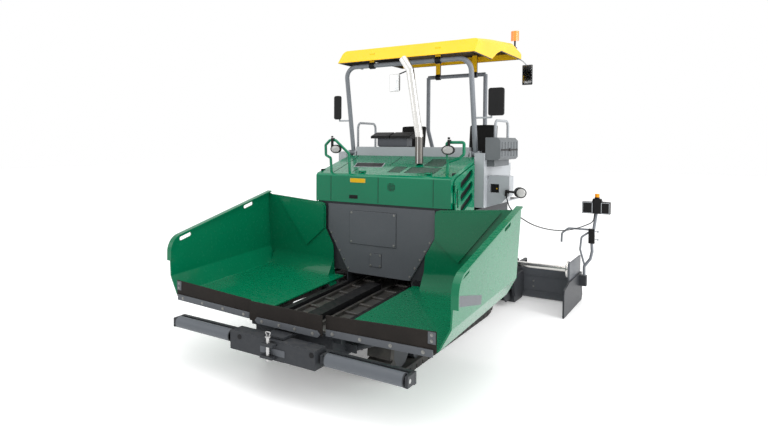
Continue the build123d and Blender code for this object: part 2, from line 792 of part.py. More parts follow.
# Platform: deck, front wall, side columns and skirts
column_y = (door_y[1] + 8, platform_front + 30)
skirt_top_z = 2060
skirt_rear = hopper_front + 3700
rail_y = (platform_front + 350, platform_front + 890)
rail_top_z = 2612
lift_pin = 34
lift_width = 56
lift_barrel_diameter = 84
lift_x = post_half_width + 74 + 8 + lift_barrel_diameter / 2
lift_base = (hopper_front + 4215, 1860)
lift_eye = (screed_front + 23, 700)
side_box_x = platform_half_width + 260
side_box_y = (hopper_front + 2720, hopper_front + 2900)
with BuildPart() as platform:
    deck_front = hood_rear + 2
    front_wall_y = (deck_front, deck_front + wall)
    block((-platform_half_width, platform_half_width), (deck_front, platform_rear), (deck_z - wall, deck_z))
    block((-hood_half_width, hood_half_width), front_wall_y, (deck_z, hoop_pivot_z - 60))
    block((-780, 780), front_wall_y, (deck_z, rail_z - 40))
    foot_bar = hoop_half_width - 61
    block((-foot_bar, foot_bar), (deck_front, platform_front + 22), (rail_z - 58, rail_z + 8))
    # Box on the left side that carries the lamp arm
    front_profile(
        [
            (platform_half_width - 2, deck_z - wall),
            (side_box_x - 97, deck_z + 40),
            (side_box_x, 1700),
            (side_box_x, 1930),
            (side_box_x - 230, 1930),
            (platform_half_width - 2, 1890),
        ],
        side_box_y,
    )
    recess = (side_box_y[0] - 1, side_box_y[0] + 40)
    block((side_box_x - 226, side_box_x - 119), recess, (1726, 1831), mode=Mode.SUBTRACT)
    for side in (1, -1):
        column_x = sorted((side * (hood_half_width + 2), side * platform_half_width))
        block(column_x, column_y, (deck_z - wall, rail_z - 60))
        skirt_x = sorted((side * (platform_half_width - wall), side * platform_half_width))
        block(skirt_x, (column_y[1] - 2, skirt_rear), (deck_z - wall, skirt_top_z))
        # Arms behind the platform that carry the rear posts
        arm_x = sorted((side * (post_half_width + 44), side * (post_half_width + 74)))
        block(arm_x, (platform_rear - 40, post_pivot_y + 50), (deck_z - wall, hoop_pivot_z + 50))
        arm_gap_y = (platform_rear + 30, post_pivot_y + 60)
        block(arm_x, arm_gap_y, (deck_z - wall - 1, hoop_pivot_z - 160), mode=Mode.SUBTRACT)
        # Ears for the roof hoop's foot pins
        for ear_x in (hoop_half_width - 62, hoop_half_width + 38):
            ear = sorted((side * ear_x, side * (ear_x + 24)))
            block(ear, (platform_front - 44, platform_front + 50), (deck_z, hoop_pivot_z + 34))
        rod(
            (side * (hoop_half_width - 62), platform_front, hoop_pivot_z),
            (side * (hoop_half_width + 62), platform_front, hoop_pivot_z),
            hoop_pin,
        )
        rod(
            (side * (post_half_width - 34), post_pivot_y, hoop_pivot_z),
            (side * (post_half_width + 74), post_pivot_y, hoop_pivot_z),
            hoop_pin,
        )
        # Clevis for the lift cylinder's base pin on the arm's front leg
        lift_arm = sorted((side * (post_half_width + 44), side * (post_half_width + 74)))
        block(lift_arm, (platform_rear + 29, lift_base[0] + 44), (lift_base[1] - 44, lift_base[1] + 44))
        pin_x = (post_half_width + 60, lift_x + lift_barrel_diameter / 2 + 28)
        rod((side * pin_x[0], *lift_base), (side * pin_x[1], *lift_base), lift_pin)
        outer_lug = sorted((side * (pin_x[1] - 20), side * pin_x[1]))
        block(outer_lug, (lift_base[0] - 34, lift_base[0] + 34), (lift_base[1] - 34, lift_base[1] + 84))
        bridge = sorted((side * (post_half_width + 60), side * pin_x[1]))
        block(bridge, (lift_base[0] - 34, lift_base[0] + 34), (lift_base[1] + 64, lift_base[1] + 84))
        block(lift_arm, (platform_rear + 29, lift_base[0] + 34), (lift_base[1] + 40, lift_base[1] + 84))
        # Rail round the open side of the platform
        rail_x = side * (platform_half_width - wall - 10)
        bent_tube(
            [
                (rail_x, rail_y[0], skirt_top_z - wall),
                (rail_x, rail_y[0], rail_top_z),
                (rail_x, rail_y[1], rail_top_z),
                (rail_x, rail_y[1], skirt_top_z - wall),
            ],
            80,
            rail_tube,
        )
save(platform.part, "platform")

# Operator console with its controls, on a cross slide
console_x = (-653, -65)
console_y = (hopper_front + 2860, hopper_front + 3060)
with BuildPart() as console:
    stand_x = (console_x[0] + 100, console_x[1] - 90)
    block(stand_x, (console_y[0] + 50, console_y[1] - 30), (deck_z + 0.3, 2290))
    block((console_x[0] + 90, console_x[1] - 55), (console_y[0] + 30, console_y[1] - 10), (2280, 2394))
    # Two sloping control pods on the housing, their upper edges rounded
    for pod_x in ((console_x[0], console_x[0] + 281), (console_x[0] + 293, console_x[1])):
        with BuildPart(mode=Mode.PRIVATE) as pod:
            side_profile(
                [(console_y[0], 2384), (console_y[0], 2420), (console_y[1] - 20, 2476), (console_y[1], 2384)],
                pod_x,
            )
            fillet(pod.edges().filter_by(Axis.X).group_by(Axis.Z)[-1], 18)
            fillet(pod.faces().sort_by(Axis.X)[0].edges().group_by(Axis.Z)[-1], 12)
            fillet(pod.faces().sort_by(Axis.X)[-1].edges().group_by(Axis.Z)[-1], 12)
        add(pod.part)
save(console.part, "console")

# Seats: bases that slide outwards, cushions and backs
seat_width = 420
seats = {"left": (705, hopper_front + 3290), "right": (-345, hopper_front + 3400)}
for side, (seat_x, seat_y) in seats.items():
    with BuildPart() as base:
        block((seat_x - 110, seat_x + 110), (seat_y - 80, seat_y + 120), (deck_z + 0.3, 1990))
        block((seat_x - 190, seat_x + 190), (seat_y - 190, seat_y + 190), (1990, 2012))
    with BuildPart() as cushion:
        cushion_x = (seat_x - seat_width / 2, seat_x + seat_width / 2)
        block(cushion_x, (seat_y - 230, seat_y + 200), (2012.3, 2110))
        side_profile(
            [(seat_y + 120, 2110), (seat_y + 200, 2110), (seat_y + 270, 2570), (seat_y + 180, 2570)],
            (seat_x - 185, seat_x + 185),
        )
    save(base.part, f"seat_base_{side}")
    save(cushion.part, f"seat_{side}")

# Cable from the tractor to the left control panel: diameter, exit and route
cable_diameter = 14
cable_route = [
    (1250, hopper_front + 2680, 1716),
    (1250, hopper_front + 2680, 1680),
    (1272, hopper_front + 2668, 1620),
    (1278, hopper_front + 2700, 1572),
    (1278, hopper_front + 2790, 1530),
    (1285, hopper_front + 2950, 1459),
    (1310, hopper_front + 3150, 1386),
    (1355, hopper_front + 3370, 1301),
    (1402, hopper_front + 3600, 1238),
    (1460, hopper_front + 3830, 1186),
    (1535, hopper_front + 4070, 1148),
    (1608, hopper_front + 4300, 1131),
    (1686, hopper_front + 4530, 1138),
    (1763, hopper_front + 4730, 1166),
    (1815, hopper_front + 4865, 1190),
    (1835, hopper_front + 4945, 1235),
    (1835, hopper_front + 4945, 1313),
]
cable_start = cable_route[0]

# Work lamps: two on the front loops and one on an arm at the left side
lamp_radius = 62
clip_sheet = 8
clip_turn = 10.4
lamp_z = 2245
side_lamp_y = hopper_front + 2700
with BuildPart() as work_lamps:
    # Oval front lamps, each on a bracket that clips over its loop's level top
    right_lamp_x = 256 - hood_half_width
    left_lamp_x = hood_half_width - 59
    for lamp_x, clip_x, top_z in (
        (right_lamp_x, right_lamp_x - 66, right_loop[4][1]),
        (left_lamp_x, left_lamp_x, left_loop[4][1]),
    ):
        with BuildPart(mode=Mode.PRIVATE) as lamp:
            with BuildSketch(Plane.XZ.offset(62 - loop_y)):
                with Locations((lamp_x, lamp_z)):
                    Ellipse(74, 54)
            extrude(amount=-38)
            fillet(lamp.faces().sort_by(Axis.Y)[-1].edges(), 16)
        add(lamp.part)
        clip = (clip_x - 12, clip_x + 12)
        block(clip, (loop_y - 46, loop_y - 20), (lamp_z, top_z + 30))
        block(clip, (loop_y - 21, loop_y + 12), (top_z + rail_tube / 2 + 0.3, top_z + 30))
    # Side lamp on its arm, with the clamp that holds the cable's end
    clamp_y = (side_lamp_y - 10, side_box_y[0] - 0.3)
    block((cable_start[0] - 20, cable_start[0] + 20), clamp_y, (1730, 1768))
    clip_offset = cable_diameter / 2 + 0.5 + clip_sheet / 2
    clip_x = cable_start[0] - clip_offset * cos(radians(clip_turn)) + 8 * sin(radians(clip_turn))
    clip_y = cable_start[1] + clip_offset * sin(radians(clip_turn)) + 8 * cos(radians(clip_turn))
    with Locations(Location((clip_x, clip_y, 1722), (0, 0, -clip_turn))):
        Box(clip_sheet, 44, 56)
    rod((cable_start[0], side_lamp_y - 2, 1749), (1395, side_lamp_y - 10, 1745), 26)
    rod((1385, side_lamp_y + 20, 1745), (1425, side_lamp_y - 60, 1745), 2 * lamp_radius)
save(work_lamps.part, "work_lamps")

# Roof hoop, roof panel and rear posts: three links of one parallelogram
post_bar_z = hoop_bar_z
sleeve_wall = 14
roof_sleeve = 70
with BuildPart() as front_hoop:
    bent_tube(
        [
            (-hoop_half_width, platform_front, hoop_pivot_z),
            (-hoop_half_width, hoop_bar_y, hoop_bar_z),
            (hoop_half_width, hoop_bar_y, hoop_bar_z),
            (hoop_half_width, platform_front, hoop_pivot_z),
        ],
        hoop_bend,
        hoop_tube,
    )
    for side in (1, -1):
        rod(
            (side * (hoop_half_width - 32), platform_front, hoop_pivot_z),
            (side * (hoop_half_width + 32), platform_front, hoop_pivot_z),
            72,
        )
    rod(
        (-hoop_half_width - 60, platform_front, hoop_pivot_z),
        (hoop_half_width + 60, platform_front, hoop_pivot_z),
        hoop_pin + 0.1,
        mode=Mode.SUBTRACT,
    )
save(front_hoop.part, "front_hoop")

with BuildPart() as rear_posts:
    for side in (1, -1):
        post_x = side * post_half_width
        bent_tube(
            [
                (post_x, post_y, post_bar_z),
                (post_x, post_y, hoop_pivot_z + 330),
                (post_x, post_pivot_y, hoop_pivot_z),
            ],
            120,
            hoop_tube,
        )
        rod(
            (post_x - 30, post_pivot_y, hoop_pivot_z),
            (post_x + 30, post_pivot_y, hoop_pivot_z),
            72,
        )
    rod(
        (-post_half_width, post_y, post_bar_z),
        (post_half_width, post_y, post_bar_z),
        hoop_tube,
    )
    rod(
        (-post_half_width - 60, post_pivot_y, hoop_pivot_z),
        (post_half_width + 60, post_pivot_y, hoop_pivot_z),
        hoop_pin + 0.1,
        mode=Mode.SUBTRACT,
    )
save(rear_posts.part, "rear_posts")

roof_skin = 20
roof_length = roof_rear - roof_front


def roof_side(inset):
    """Side view of the roof's top as (y, z), from its front lip to its rear edge, drawn in by an inset."""
    return [
        (roof_front + inset, roof_edge_z),
        (roof_front + 160 + inset / 2, roof_edge_z + 175 - inset),
        (roof_front + 760, roof_edge_z + roof_crown - 65 - inset),
        (roof_front + 1610, roof_edge_z + roof_crown - inset),
        (roof_rear - inset, roof_edge_z + roof_crown - 70 - inset),
    ]


with BuildPart() as roof_panel:
    # Shell with a stepped lower edge, its long upper edges rounded, hollow underneath
    lower_edge = [
        (roof_rear, roof_edge_z + 120),
        (roof_front + 1040, roof_edge_z + 125),
        (roof_front + 860, roof_edge_z + 70),
        (roof_front + 660, roof_edge_z - 25),
        (roof_front, roof_edge_z - 10),
    ]
    side_profile(roof_side(0) + lower_edge, (-roof_half_width, roof_half_width))
    for end_face in (roof_panel.faces().sort_by(Axis.X)[0], roof_panel.faces().sort_by(Axis.X)[-1]):
        high_edges = [edge for edge in end_face.edges() if edge.center().Z > roof_edge_z + 150]
        fillet([edge for edge in high_edges if abs((edge % 0.5).Y) > 0.8], 55)
    inner_edge = [(roof_rear - 24, roof_edge_z - 60), (roof_front + 24, roof_edge_z - 60)]
    inner_half = roof_half_width - 24
    side_profile(roof_side(roof_skin + 4) + inner_edge, (-inner_half, inner_half), mode=Mode.SUBTRACT)
    # Sleeves round the hoop's bar and the posts' bar, with their webs
    for bar_y, sleeve_x, web_top_z in ((hoop_bar_y, 420, roof_edge_z + 95), (post_y, 250, roof_edge_z + 240)):
        for side in (1, -1):
            sleeve = sorted((side * sleeve_x, side * (sleeve_x + roof_sleeve)))
            rod((sleeve[0], bar_y, hoop_bar_z), (sleeve[1], bar_y, hoop_bar_z), hoop_tube + 2 * sleeve_wall)
            block(sleeve, (bar_y - 20, bar_y + 20), (hoop_bar_z + 10, web_top_z))
        rod((-700, bar_y, hoop_bar_z), (700, bar_y, hoop_bar_z), hoop_tube + 0.1, mode=Mode.SUBTRACT)
save(roof_panel.part, "roof_panel")

# Mirrors on the hoop, beacon on the roof
mirror_round = 28


def mirror_head(x, y, z):
    """A mirror's rounded housing from its three ranges."""
    with BuildSketch(Plane.XZ.offset(-y[0])) as face:
        with Locations(((x[0] + x[1]) / 2, (z[0] + z[1]) / 2)):
            RectangleRounded(x[1] - x[0], z[1] - z[0], mirror_round)
    extrude(face.sketch, amount=y[0] - y[1])


with BuildPart() as hoop_mirrors:
    lean = (hoop_bar_y - platform_front) / (hoop_bar_z - hoop_pivot_z)
    arm_z = 2630
    mirror_y = platform_front + lean * (arm_z - hoop_pivot_z)
    for side, reach in ((1, (183, 363)), (-1, (153, 253))):
        head = (hoop_half_width + reach[0], hoop_half_width + reach[1])
        stem_x = side * (head[0] + 30)
        rod((side * (hoop_half_width + 30.3), mirror_y, arm_z), (stem_x, mirror_y, arm_z), 22)
        rod((stem_x, mirror_y, arm_z - 8), (stem_x, mirror_y, 2740), 20)
        mirror_head(sorted((side * head[0], side * head[1])), (mirror_y - 36, mirror_y + 2), (2650, 2980))
    # Small mirror hung from the hoop's cross bar
    mirror_head((-160, -30), (hoop_bar_y - 85, hoop_bar_y - 55), (2980, 3200))
    rod((-95, hoop_bar_y - 70, 3180), (63, hoop_bar_y, 3252), 16)
    rod((63, hoop_bar_y, 3246), (63, hoop_bar_y, hoop_bar_z - hoop_tube / 2 - 0.3), 16)
save(hoop_mirrors.part, "hoop_mirrors")
beacon_x = 880
beacon_y = hopper_front + 4300
beacon_foot = 60
rear_fall = 70 / (roof_length - 1610)
beacon_foot_z = roof_edge_z + roof_crown - rear_fall * (beacon_y - roof_front - 1610 - beacon_foot / 2) + 0.3


with BuildPart() as beacon:
    rod((beacon_x, beacon_y, beacon_foot_z), (beacon_x, beacon_y, beacon_foot_z + 14), beacon_foot)
    rod((beacon_x, beacon_y, beacon_foot_z), (beacon_x, beacon_y, 3780), 24)
    rod((beacon_x, beacon_y, 3780), (beacon_x, beacon_y, 3920), 110)
save(beacon.part, "beacon")

# Exhaust: coupling on the hood and the bright stack with its turned mouth, ahead of the roof
exhaust_diameter = 96
exhaust_y = hopper_front + 2330
exhaust_x = 300
exhaust_top_z = 3380
with BuildPart() as exhaust:
    bent_tube(
        [
            (exhaust_x, exhaust_y, hood_top(exhaust_y) + exhaust_diameter / 2 * hood_rise + 0.3),
            (exhaust_x, exhaust_y, 2400),
            (exhaust_x - 130, exhaust_y, exhaust_top_z - 150),
            (exhaust_x - 230, exhaust_y, exhaust_top_z),
        ],
        60,
        exhaust_diameter,
    )
save(exhaust.part, "exhaust")

# Ribbed tool box on the platform's left side
toolbox_y = (hopper_front + 2630, hopper_front + 3370)
toolbox_x = (platform_half_width + 0.3, platform_half_width + 180)
rib_count = 6
with BuildPart() as toolbox:
    front_profile(
        [
            (toolbox_x[0], 2120),
            (toolbox_x[1] - 26, 2120),
            (toolbox_x[1], 2150),
            (toolbox_x[1], 2352),
            (toolbox_x[1] - 34, 2390),
            (toolbox_x[0], 2390),
        ],
        toolbox_y,
    )
    block((toolbox_x[0], toolbox_x[1] - 90), (toolbox_y[0] + 70, toolbox_y[1] - 70), (2040, 2121))
    for index in range(rib_count):
        groove_y = toolbox_y[0] + 60 + index * (toolbox_y[1] - toolbox_y[0] - 120) / (rib_count - 1)
        groove_x = (toolbox_x[1] - 9, toolbox_x[1] + 1)
        block(groove_x, (groove_y - 17, groove_y + 17), (2165, 2338), mode=Mode.SUBTRACT)
save(toolbox.part, "toolbox")

# Push beam with its two rollers
roller_diameter = 118
push_roller_y = hopper_front - 165
push_roller_z = 428
push_roller_x = (545, 1300)
block_half = 488
with BuildPart() as push_beam:
    block((-block_half, block_half), (push_pin_y - 110, push_pin_y + 62), push_beam_z)
    pin_ends = (push_beam_z[0] - 2, push_beam_z[1] + 2)
    rod((0, push_pin_y, pin_ends[0]), (0, push_pin_y, pin_ends[1]), push_pin + 0.1, mode=Mode.SUBTRACT)
    block((-1335, 1335), (hopper_front - 88, hopper_front - 48), (372, 476))
    for side in (1, -1):
        for bracket_x in (push_roller_x[0] - 38, push_roller_x[1] + 6):
            bracket = sorted((side * bracket_x, side * (bracket_x + 28)))
            block(bracket, (push_roller_y - 44, hopper_front - 60), (380, 474))
        rod(
            (side * (push_roller_x[0] - 60), push_roller_y, push_roller_z),
            (side * (push_roller_x[1] + 60), push_roller_y, push_roller_z),
            40.1,
            mode=Mode.SUBTRACT,
        )
    # Towing fork at the front with an upright hole
    for fork_z in (push_beam_z[0] + 20, push_beam_z[1] - 44):
        block((-70, 70), (push_pin_y - 180, push_pin_y - 100), (fork_z, fork_z + 24))
    rod((0, push_pin_y - 145, 300), (0, push_pin_y - 145, 600), tow_hole, mode=Mode.SUBTRACT)
save(push_beam.part, "push_beam")

for side_name, side in sides.items():
    with BuildPart() as roller:
        rod(
            (side * push_roller_x[0], push_roller_y, push_roller_z),
            (side * push_roller_x[1], push_roller_y, push_roller_z),
            roller_diameter,
        )
        rod(
            (side * (push_roller_x[0] - 36), push_roller_y, push_roller_z),
            (side * (push_roller_x[1] + 34), push_roller_y, push_roller_z),
            40,
        )
    save(roller.part, f"push_roller_{side_name}")

# Augers behind the tractor: shafts with plate flights, hung from the carrier in the middle
auger_radius = 150
auger_y = body_rear + auger_radius + 8
auger_z = 300
shaft_diameter = 76
auger_inner_x = 70
auger_outer_x = 835
auger_plate = 16
flight_pitch = 240
flight_sheet = 12
with BuildPart() as auger_left:
    rod((auger_inner_x, auger_y, auger_z), (auger_outer_x + 24, auger_y, auger_z), shaft_diameter)
    # One helical flight, its root sunk into the shaft
    flight_root = shaft_diameter / 2 - 6
    with BuildLine() as flight_line:
        Helix(
            pitch=flight_pitch,
            height=auger_outer_x - auger_inner_x - 60,
            radius=(auger_radius + flight_root) / 2,
            direction=(1, 0, 0),
            center=(auger_inner_x + 30, auger_y, auger_z),
        )
    flight_start = flight_line.line @ 0
    outward = flight_start - Vector(flight_start.X, auger_y, auger_z)
    with BuildSketch(Plane(origin=flight_start, x_dir=outward, z_dir=flight_line.line % 0)) as flight_section:
        Rectangle(auger_radius - flight_root, flight_sheet)
    sweep(flight_section.sketch, path=flight_line.line, is_frenet=True)
with BuildPart() as auger_right:
    mirror(auger_left.part, about=Plane.YZ)
save(auger_left.part, "auger_left")
save(auger_right.part, "auger_right")

with BuildPart() as auger_carrier:
    bearing_half = auger_inner_x - 6
    block((-bearing_half, bearing_half), (auger_y - 70, auger_y + 70), (auger_z - 110, auger_z + 110))
    block((-52, 52), (body_rear, auger_y + 40), (auger_z + 100, 650))
    for side in (1, -1):
        outer = sorted((side * (auger_outer_x + 8), side * (auger_outer_x + 8 + auger_plate)))
        side_profile(
            [
                (body_rear - 60, 650),
                (auger_y + 60, 650),
                (screed_front - 12, 480),
                (screed_front - 12, 60),
                (auger_y - 100, 60),
                (body_rear - 60, 200),
            ],
            outer,
        )
    block((-auger_outer_x - 24, auger_outer_x + 24), (body_rear + 0.3, body_rear + 20), (540, 650))
    rod(
        (-auger_outer_x - 60, auger_y, auger_z),
        (auger_outer_x + 60, auger_y, auger_z),
        shaft_diameter + 0.1,
        mode=Mode.SUBTRACT,
    )
save(auger_carrier.part, "auger_carrier")

# Tow arms: from the tow pins outside the tracks to the screed's ends
tow_y = hopper_front + 2000
tow_z = 560
arm_x = (body_half_width + 25, body_half_width + 65)
arm_half = 50
tow_pin = 50
with BuildPart() as tow_arms:
    for side in (1, -1):
        arm = sorted((side * arm_x[0], side * arm_x[1]))
        side_profile(
            [
                (tow_y - 60, tow_z - arm_half),
                (tow_y - 60, tow_z + arm_half),
                (screed_front - 260, tow_z + arm_half + 30),
                (screed_front - 150, 940),
                (screed_front - 120, 980),
                (screed_front - 50, 980),
                (screed_front - 20, 940),
                (screed_front - 20, 430),
                (screed_front + 300, 430),
                (screed_front + 340, 390),
                (screed_front + 340, 120),
                (screed_front - 100, 120),
                (screed_front - 260, tow_z - arm_half),
            ],
            arm,
        )
        # Seat pads against the screed's end plates
        pad = sorted((side * (screed_half_width + seat_gap), side * (arm_x[0] + 1)))
        block(pad, (screed_front + 40, screed_front + 320), (160, 400))
        pin_ends = (side * (arm_x[0] - 4), side * (arm_x[1] + 4))
        rod((pin_ends[0], tow_y, tow_z), (pin_ends[1], tow_y, tow_z), tow_pin + 0.1, mode=Mode.SUBTRACT)
save(tow_arms.part, "tow_arms")

# Levelling cylinders on the body's side walls, their forks round the tow arms' front ends
levelling_x = (arm_x[0] + arm_x[1]) / 2
levelling_bore = 80
fork_plate = 14
with BuildPart() as levelling_cylinders:
    for side in (1, -1):
        for fork_x in (arm_x[0] - 5 - fork_plate, arm_x[1] + 5):
            fork = sorted((side * fork_x, side * (fork_x + fork_plate)))
            block(fork, (tow_y - 36, tow_y + 36), (tow_z - 40, tow_z + 120))
        top = sorted((side * (arm_x[0] - 5 - fork_plate), side * (arm_x[1] + 5 + fork_plate)))
        block(top, (tow_y - 36, tow_y + 36), (tow_z + 80, tow_z + 120))
        rod((side * (arm_x[0] - 6), tow_y, tow_z), (side * (arm_x[1] + 6), tow_y, tow_z), tow_pin)
        rod((side * levelling_x, tow_y, tow_z + 110), (side * levelling_x, tow_y, 840), 46)
        rod((side * levelling_x, tow_y, 820), (side * levelling_x, tow_y, 1180), levelling_bore)
        mount_x = sorted((side * (body_half_width + seat_gap), side * levelling_x))
        block(mount_x, (tow_y - 60, tow_y + 60), (1090, 1150))
save(levelling_cylinders.part, "levelling_cylinders")

# Basic screed: box frame with its sole, guide sleeves on saddles, lugs for the lift cylinders
guide_y = {"left": screed_front + 100, "right": screed_front + 260}
guide_wall = 12
guide_end = screed_half_width - 20
guide_inner_x = 300
with BuildPart() as screed_frame:
    side_profile(
        [
            (screed_front, 40),
            (screed_front + 40, 0),
            (screed_front + screed_depth, 0),
            (screed_front + screed_depth, 420),
            (screed_front + screed_depth - 40, screed_top_z),
            (screed_front + 10, screed_top_z),
            (screed_front, 470),
        ],
        (-screed_half_width, screed_half_width),
    )
    for tube_y in guide_y.values():
        rod((-guide_end, tube_y, tube_z), (guide_end, tube_y, tube_z), guide_tube + 2 * guide_wall)
        for saddle_x in (-840, -300, 260, 800):
            block((saddle_x, saddle_x + 40), (tube_y - 40, tube_y + 40), (screed_top_z - 1, tube_z - 10))
        hole_end = guide_end + 1
        rod((-hole_end, tube_y, tube_z), (hole_end, tube_y, tube_z), guide_tube + 0.2, mode=Mode.SUBTRACT)
    for side in (1, -1):
        for lug_x in (lift_x - lift_width / 2 - 24, lift_x + lift_width / 2 + 4):
            lug = sorted((side * lug_x, side * (lug_x + 20)))
            block(lug, (screed_front + 2, lift_eye[0] + 21), (screed_top_z - 20, lift_eye[1] + 26))
        pin_x = sorted((side * (lift_x - lift_width / 2 - 24), side * (lift_x + lift_width / 2 + 24)))
        rod((pin_x[0], *lift_eye), (pin_x[1], *lift_eye), lift_pin)
save(screed_frame.part, "screed_frame")

# Control post at the end gate, as (x, z): bent tube with its clamp, two handles and the panel
post_y_rear = gate_rear - 170
post_route = [(1706, 380), (1706, 532), (1785, 651), (1806, 760), (1799, 880), (1838, 1209), (1853, 1330)]
upper_handle = [(1775, 1072), (1489, 1072), (1401, 991), (1396, 859)]
lower_handle = [(1780, 1050), (1664, 956), (1648, 774), (1706, 560)]
panel_outline = [
    (1675, 1315),
    (2031, 1315),
    (2031, 1484),
    (1925, 1488),
    (1915, 1528),
    (1812, 1528),
    (1802, 1482),
    (1675, 1480),
]
post_tube = 40
handle_tube = 28

# Screed extensions: box with its sole, bright guide tube, end gate, control post with panel
flange_diameter = 230
flange_width = 24
end_plate = 24
for side_name, side in sides.items():
    tube_y = guide_y[side_name]
    plate_x = extension_outer_x - end_plate
    with BuildPart() as extension:
        side_profile(
            [
                (extension_front, 45),
                (extension_front + 12, 20),
                (extension_front + 45, 0),
                (extension_front + extension_depth, 0),
                (extension_front + extension_depth, 420),
                (extension_front + extension_depth - 60, screed_top_z - 20),
                (extension_front + 20, screed_top_z - 20),
                (extension_front, 450),
            ],
            sorted((side * extension_inner_x, side * extension_outer_x)),
        )
        # End plate that takes the guide tube's flange
        block(
            sorted((side * plate_x, side * extension_outer_x)),
            (screed_front + 30, extension_front + extension_depth),
            (200, tube_z + 95),
        )
    with BuildPart() as extension_tube:
        tube_end = side * (plate_x - seat_gap)
        rod((side * guide_inner_x, tube_y, tube_z), (tube_end, tube_y, tube_z), guide_tube)
        rod((tube_end - side * flange_width, tube_y, tube_z), (tube_end, tube_y, tube_z), flange_diameter)
    with BuildPart() as end_gate:
        gate_inner_x = extension_outer_x + seat_gap
        gate_x = sorted((side * gate_inner_x, side * (gate_inner_x + gate_plate)))
        side_profile(
            [
                (gate_front, 0),
                (gate_rear, 0),
                (gate_rear + 60, 60),
                (gate_rear, 420),
                (gate_front + 330, 420),
                (gate_front + 200, 390),
                (gate_front + 30, 370),
                (gate_front, 320),
            ],
            gate_x,
        )
    with BuildPart() as control_post:
        clamp_x = extension_outer_x + seat_gap + gate_plate + seat_gap
        clamp = sorted((side * clamp_x, side * (clamp_x + 90)))
        block(clamp, (post_y_rear - 50, post_y_rear + 50), (250, 400))
        bent_tube([(side * x, post_y_rear, z) for x, z in post_route], 40, post_tube)
        block(sorted((side * 1758, side * 1834)), (post_y_rear - 30, post_y_rear + 30), (876, 1087))
        bent_tube([(side * x, post_y_rear, z) for x, z in upper_handle], 50, handle_tube)
        bent_tube([(side * x, post_y_rear, z) for x, z in lower_handle], 50, handle_tube)
        front_profile([(side * x, z) for x, z in panel_outline], (post_y_rear - 60, post_y_rear + 30))
        rod((side * 1862, post_y_rear - 15, 1520), (side * 1862, post_y_rear - 15, 1598), 60)
    save(extension.part, f"extension_{side_name}")
    save(extension_tube.part, f"extension_tube_{side_name}")
    save(end_gate.part, f"end_gate_{side_name}")
    save(control_post.part, f"control_post_{side_name}")

# Walkway behind the screed, on brackets that reach over the extensions
walkway_y = (extension_front + extension_depth + 24, extension_front + extension_depth + 280)
with BuildPart() as walkway:
    block((-screed_half_width, screed_half_width), walkway_y, (380, 400))
    for walk_x in (-840, -300, 300, 840):
        block(
            (walk_x - 20, walk_x + 20),
            (screed_front + screed_depth - 100, walkway_y[0] + 30),
            (screed_top_z + seat_gap, screed_top_z + 24),
        )
        block((walk_x - 20, walk_x + 20), (walkway_y[0], walkway_y[0] + 30), (390, screed_top_z + 10))
save(walkway.part, "screed_walkway")

# Lift cylinders between the platform's rear arms and the screed
lift_hole = lift_pin + 30
with BuildPart() as lift_barrels:
    for side in (1, -1):
        lift_ends = ((side * lift_x, *lift_base), (side * lift_x, *lift_eye))
        cylinder_barrel(*lift_ends, lift_pin, 620, lift_barrel_diameter, lift_width)
with BuildPart() as lift_rods:
    for side in (1, -1):
        lift_ends = ((side * lift_x, *lift_base), (side * lift_x, *lift_eye))
        cylinder_rod(*lift_ends, 500, lift_hole, 44, lift_barrel_diameter, lift_width)
save(lift_barrels.part, "lift_barrels")
save(lift_rods.part, "lift_rods")

# The cable's own tube, each corner an arc as large as its runs allow
corner_radii = []
for before, corner, after in zip(cable_route, cable_route[1:], cable_route[2:]):
    run_in = Vector(*corner) - Vector(*before)
    run_out = Vector(*after) - Vector(*corner)
    turn = radians(run_in.get_angle(run_out))
    corner_radii.append(0.45 * min(run_in.length, run_out.length) / tan(turn / 2))
print("cable radii", [round(radius) for radius in corner_radii])
with BuildPart() as panel_cable:
    with BuildLine() as cable_line:
        FilletPolyline(*cable_route, radius=corner_radii)
    with BuildSketch(Plane(origin=cable_line.line @ 0, z_dir=cable_line.line % 0)) as cable_section:
        Circle(cable_diameter / 2)
    sweep(cable_section.sketch, path=cable_line.line)
cable_length = sum(edge.length for edge in cable_line.edges())
print("cable length", round(cable_length), "section", round(panel_cable.part.volume / cable_length, 1))
save(panel_cable.part, "panel_cable")
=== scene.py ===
import json
from math import cos, pi, radians, sin

import bmesh
import bpy
from mathutils import Matrix, Vector

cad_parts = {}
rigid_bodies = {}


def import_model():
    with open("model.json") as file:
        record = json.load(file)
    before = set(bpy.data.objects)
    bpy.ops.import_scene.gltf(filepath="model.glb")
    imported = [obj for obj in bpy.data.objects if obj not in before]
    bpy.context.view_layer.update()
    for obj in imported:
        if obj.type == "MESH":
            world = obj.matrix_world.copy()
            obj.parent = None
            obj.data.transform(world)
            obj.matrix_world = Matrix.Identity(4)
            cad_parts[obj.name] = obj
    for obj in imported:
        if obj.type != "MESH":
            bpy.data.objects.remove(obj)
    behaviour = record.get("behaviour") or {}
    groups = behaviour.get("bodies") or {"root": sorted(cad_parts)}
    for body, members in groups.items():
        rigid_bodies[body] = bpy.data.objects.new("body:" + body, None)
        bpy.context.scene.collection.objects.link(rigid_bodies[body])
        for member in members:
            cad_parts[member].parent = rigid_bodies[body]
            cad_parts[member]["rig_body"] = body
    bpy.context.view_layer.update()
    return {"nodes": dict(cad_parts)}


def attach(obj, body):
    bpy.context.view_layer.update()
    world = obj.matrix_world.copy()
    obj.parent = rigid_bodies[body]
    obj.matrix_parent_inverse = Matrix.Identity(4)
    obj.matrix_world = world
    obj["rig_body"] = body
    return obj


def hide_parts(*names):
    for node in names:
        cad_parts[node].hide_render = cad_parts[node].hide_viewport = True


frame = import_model()
nodes = frame["nodes"]
y0 = -2.56  # the hopper's front edge; most places along the machine are measured from it
print("frame loaded:", len(nodes), "nodes")

# Camera, lights and floor

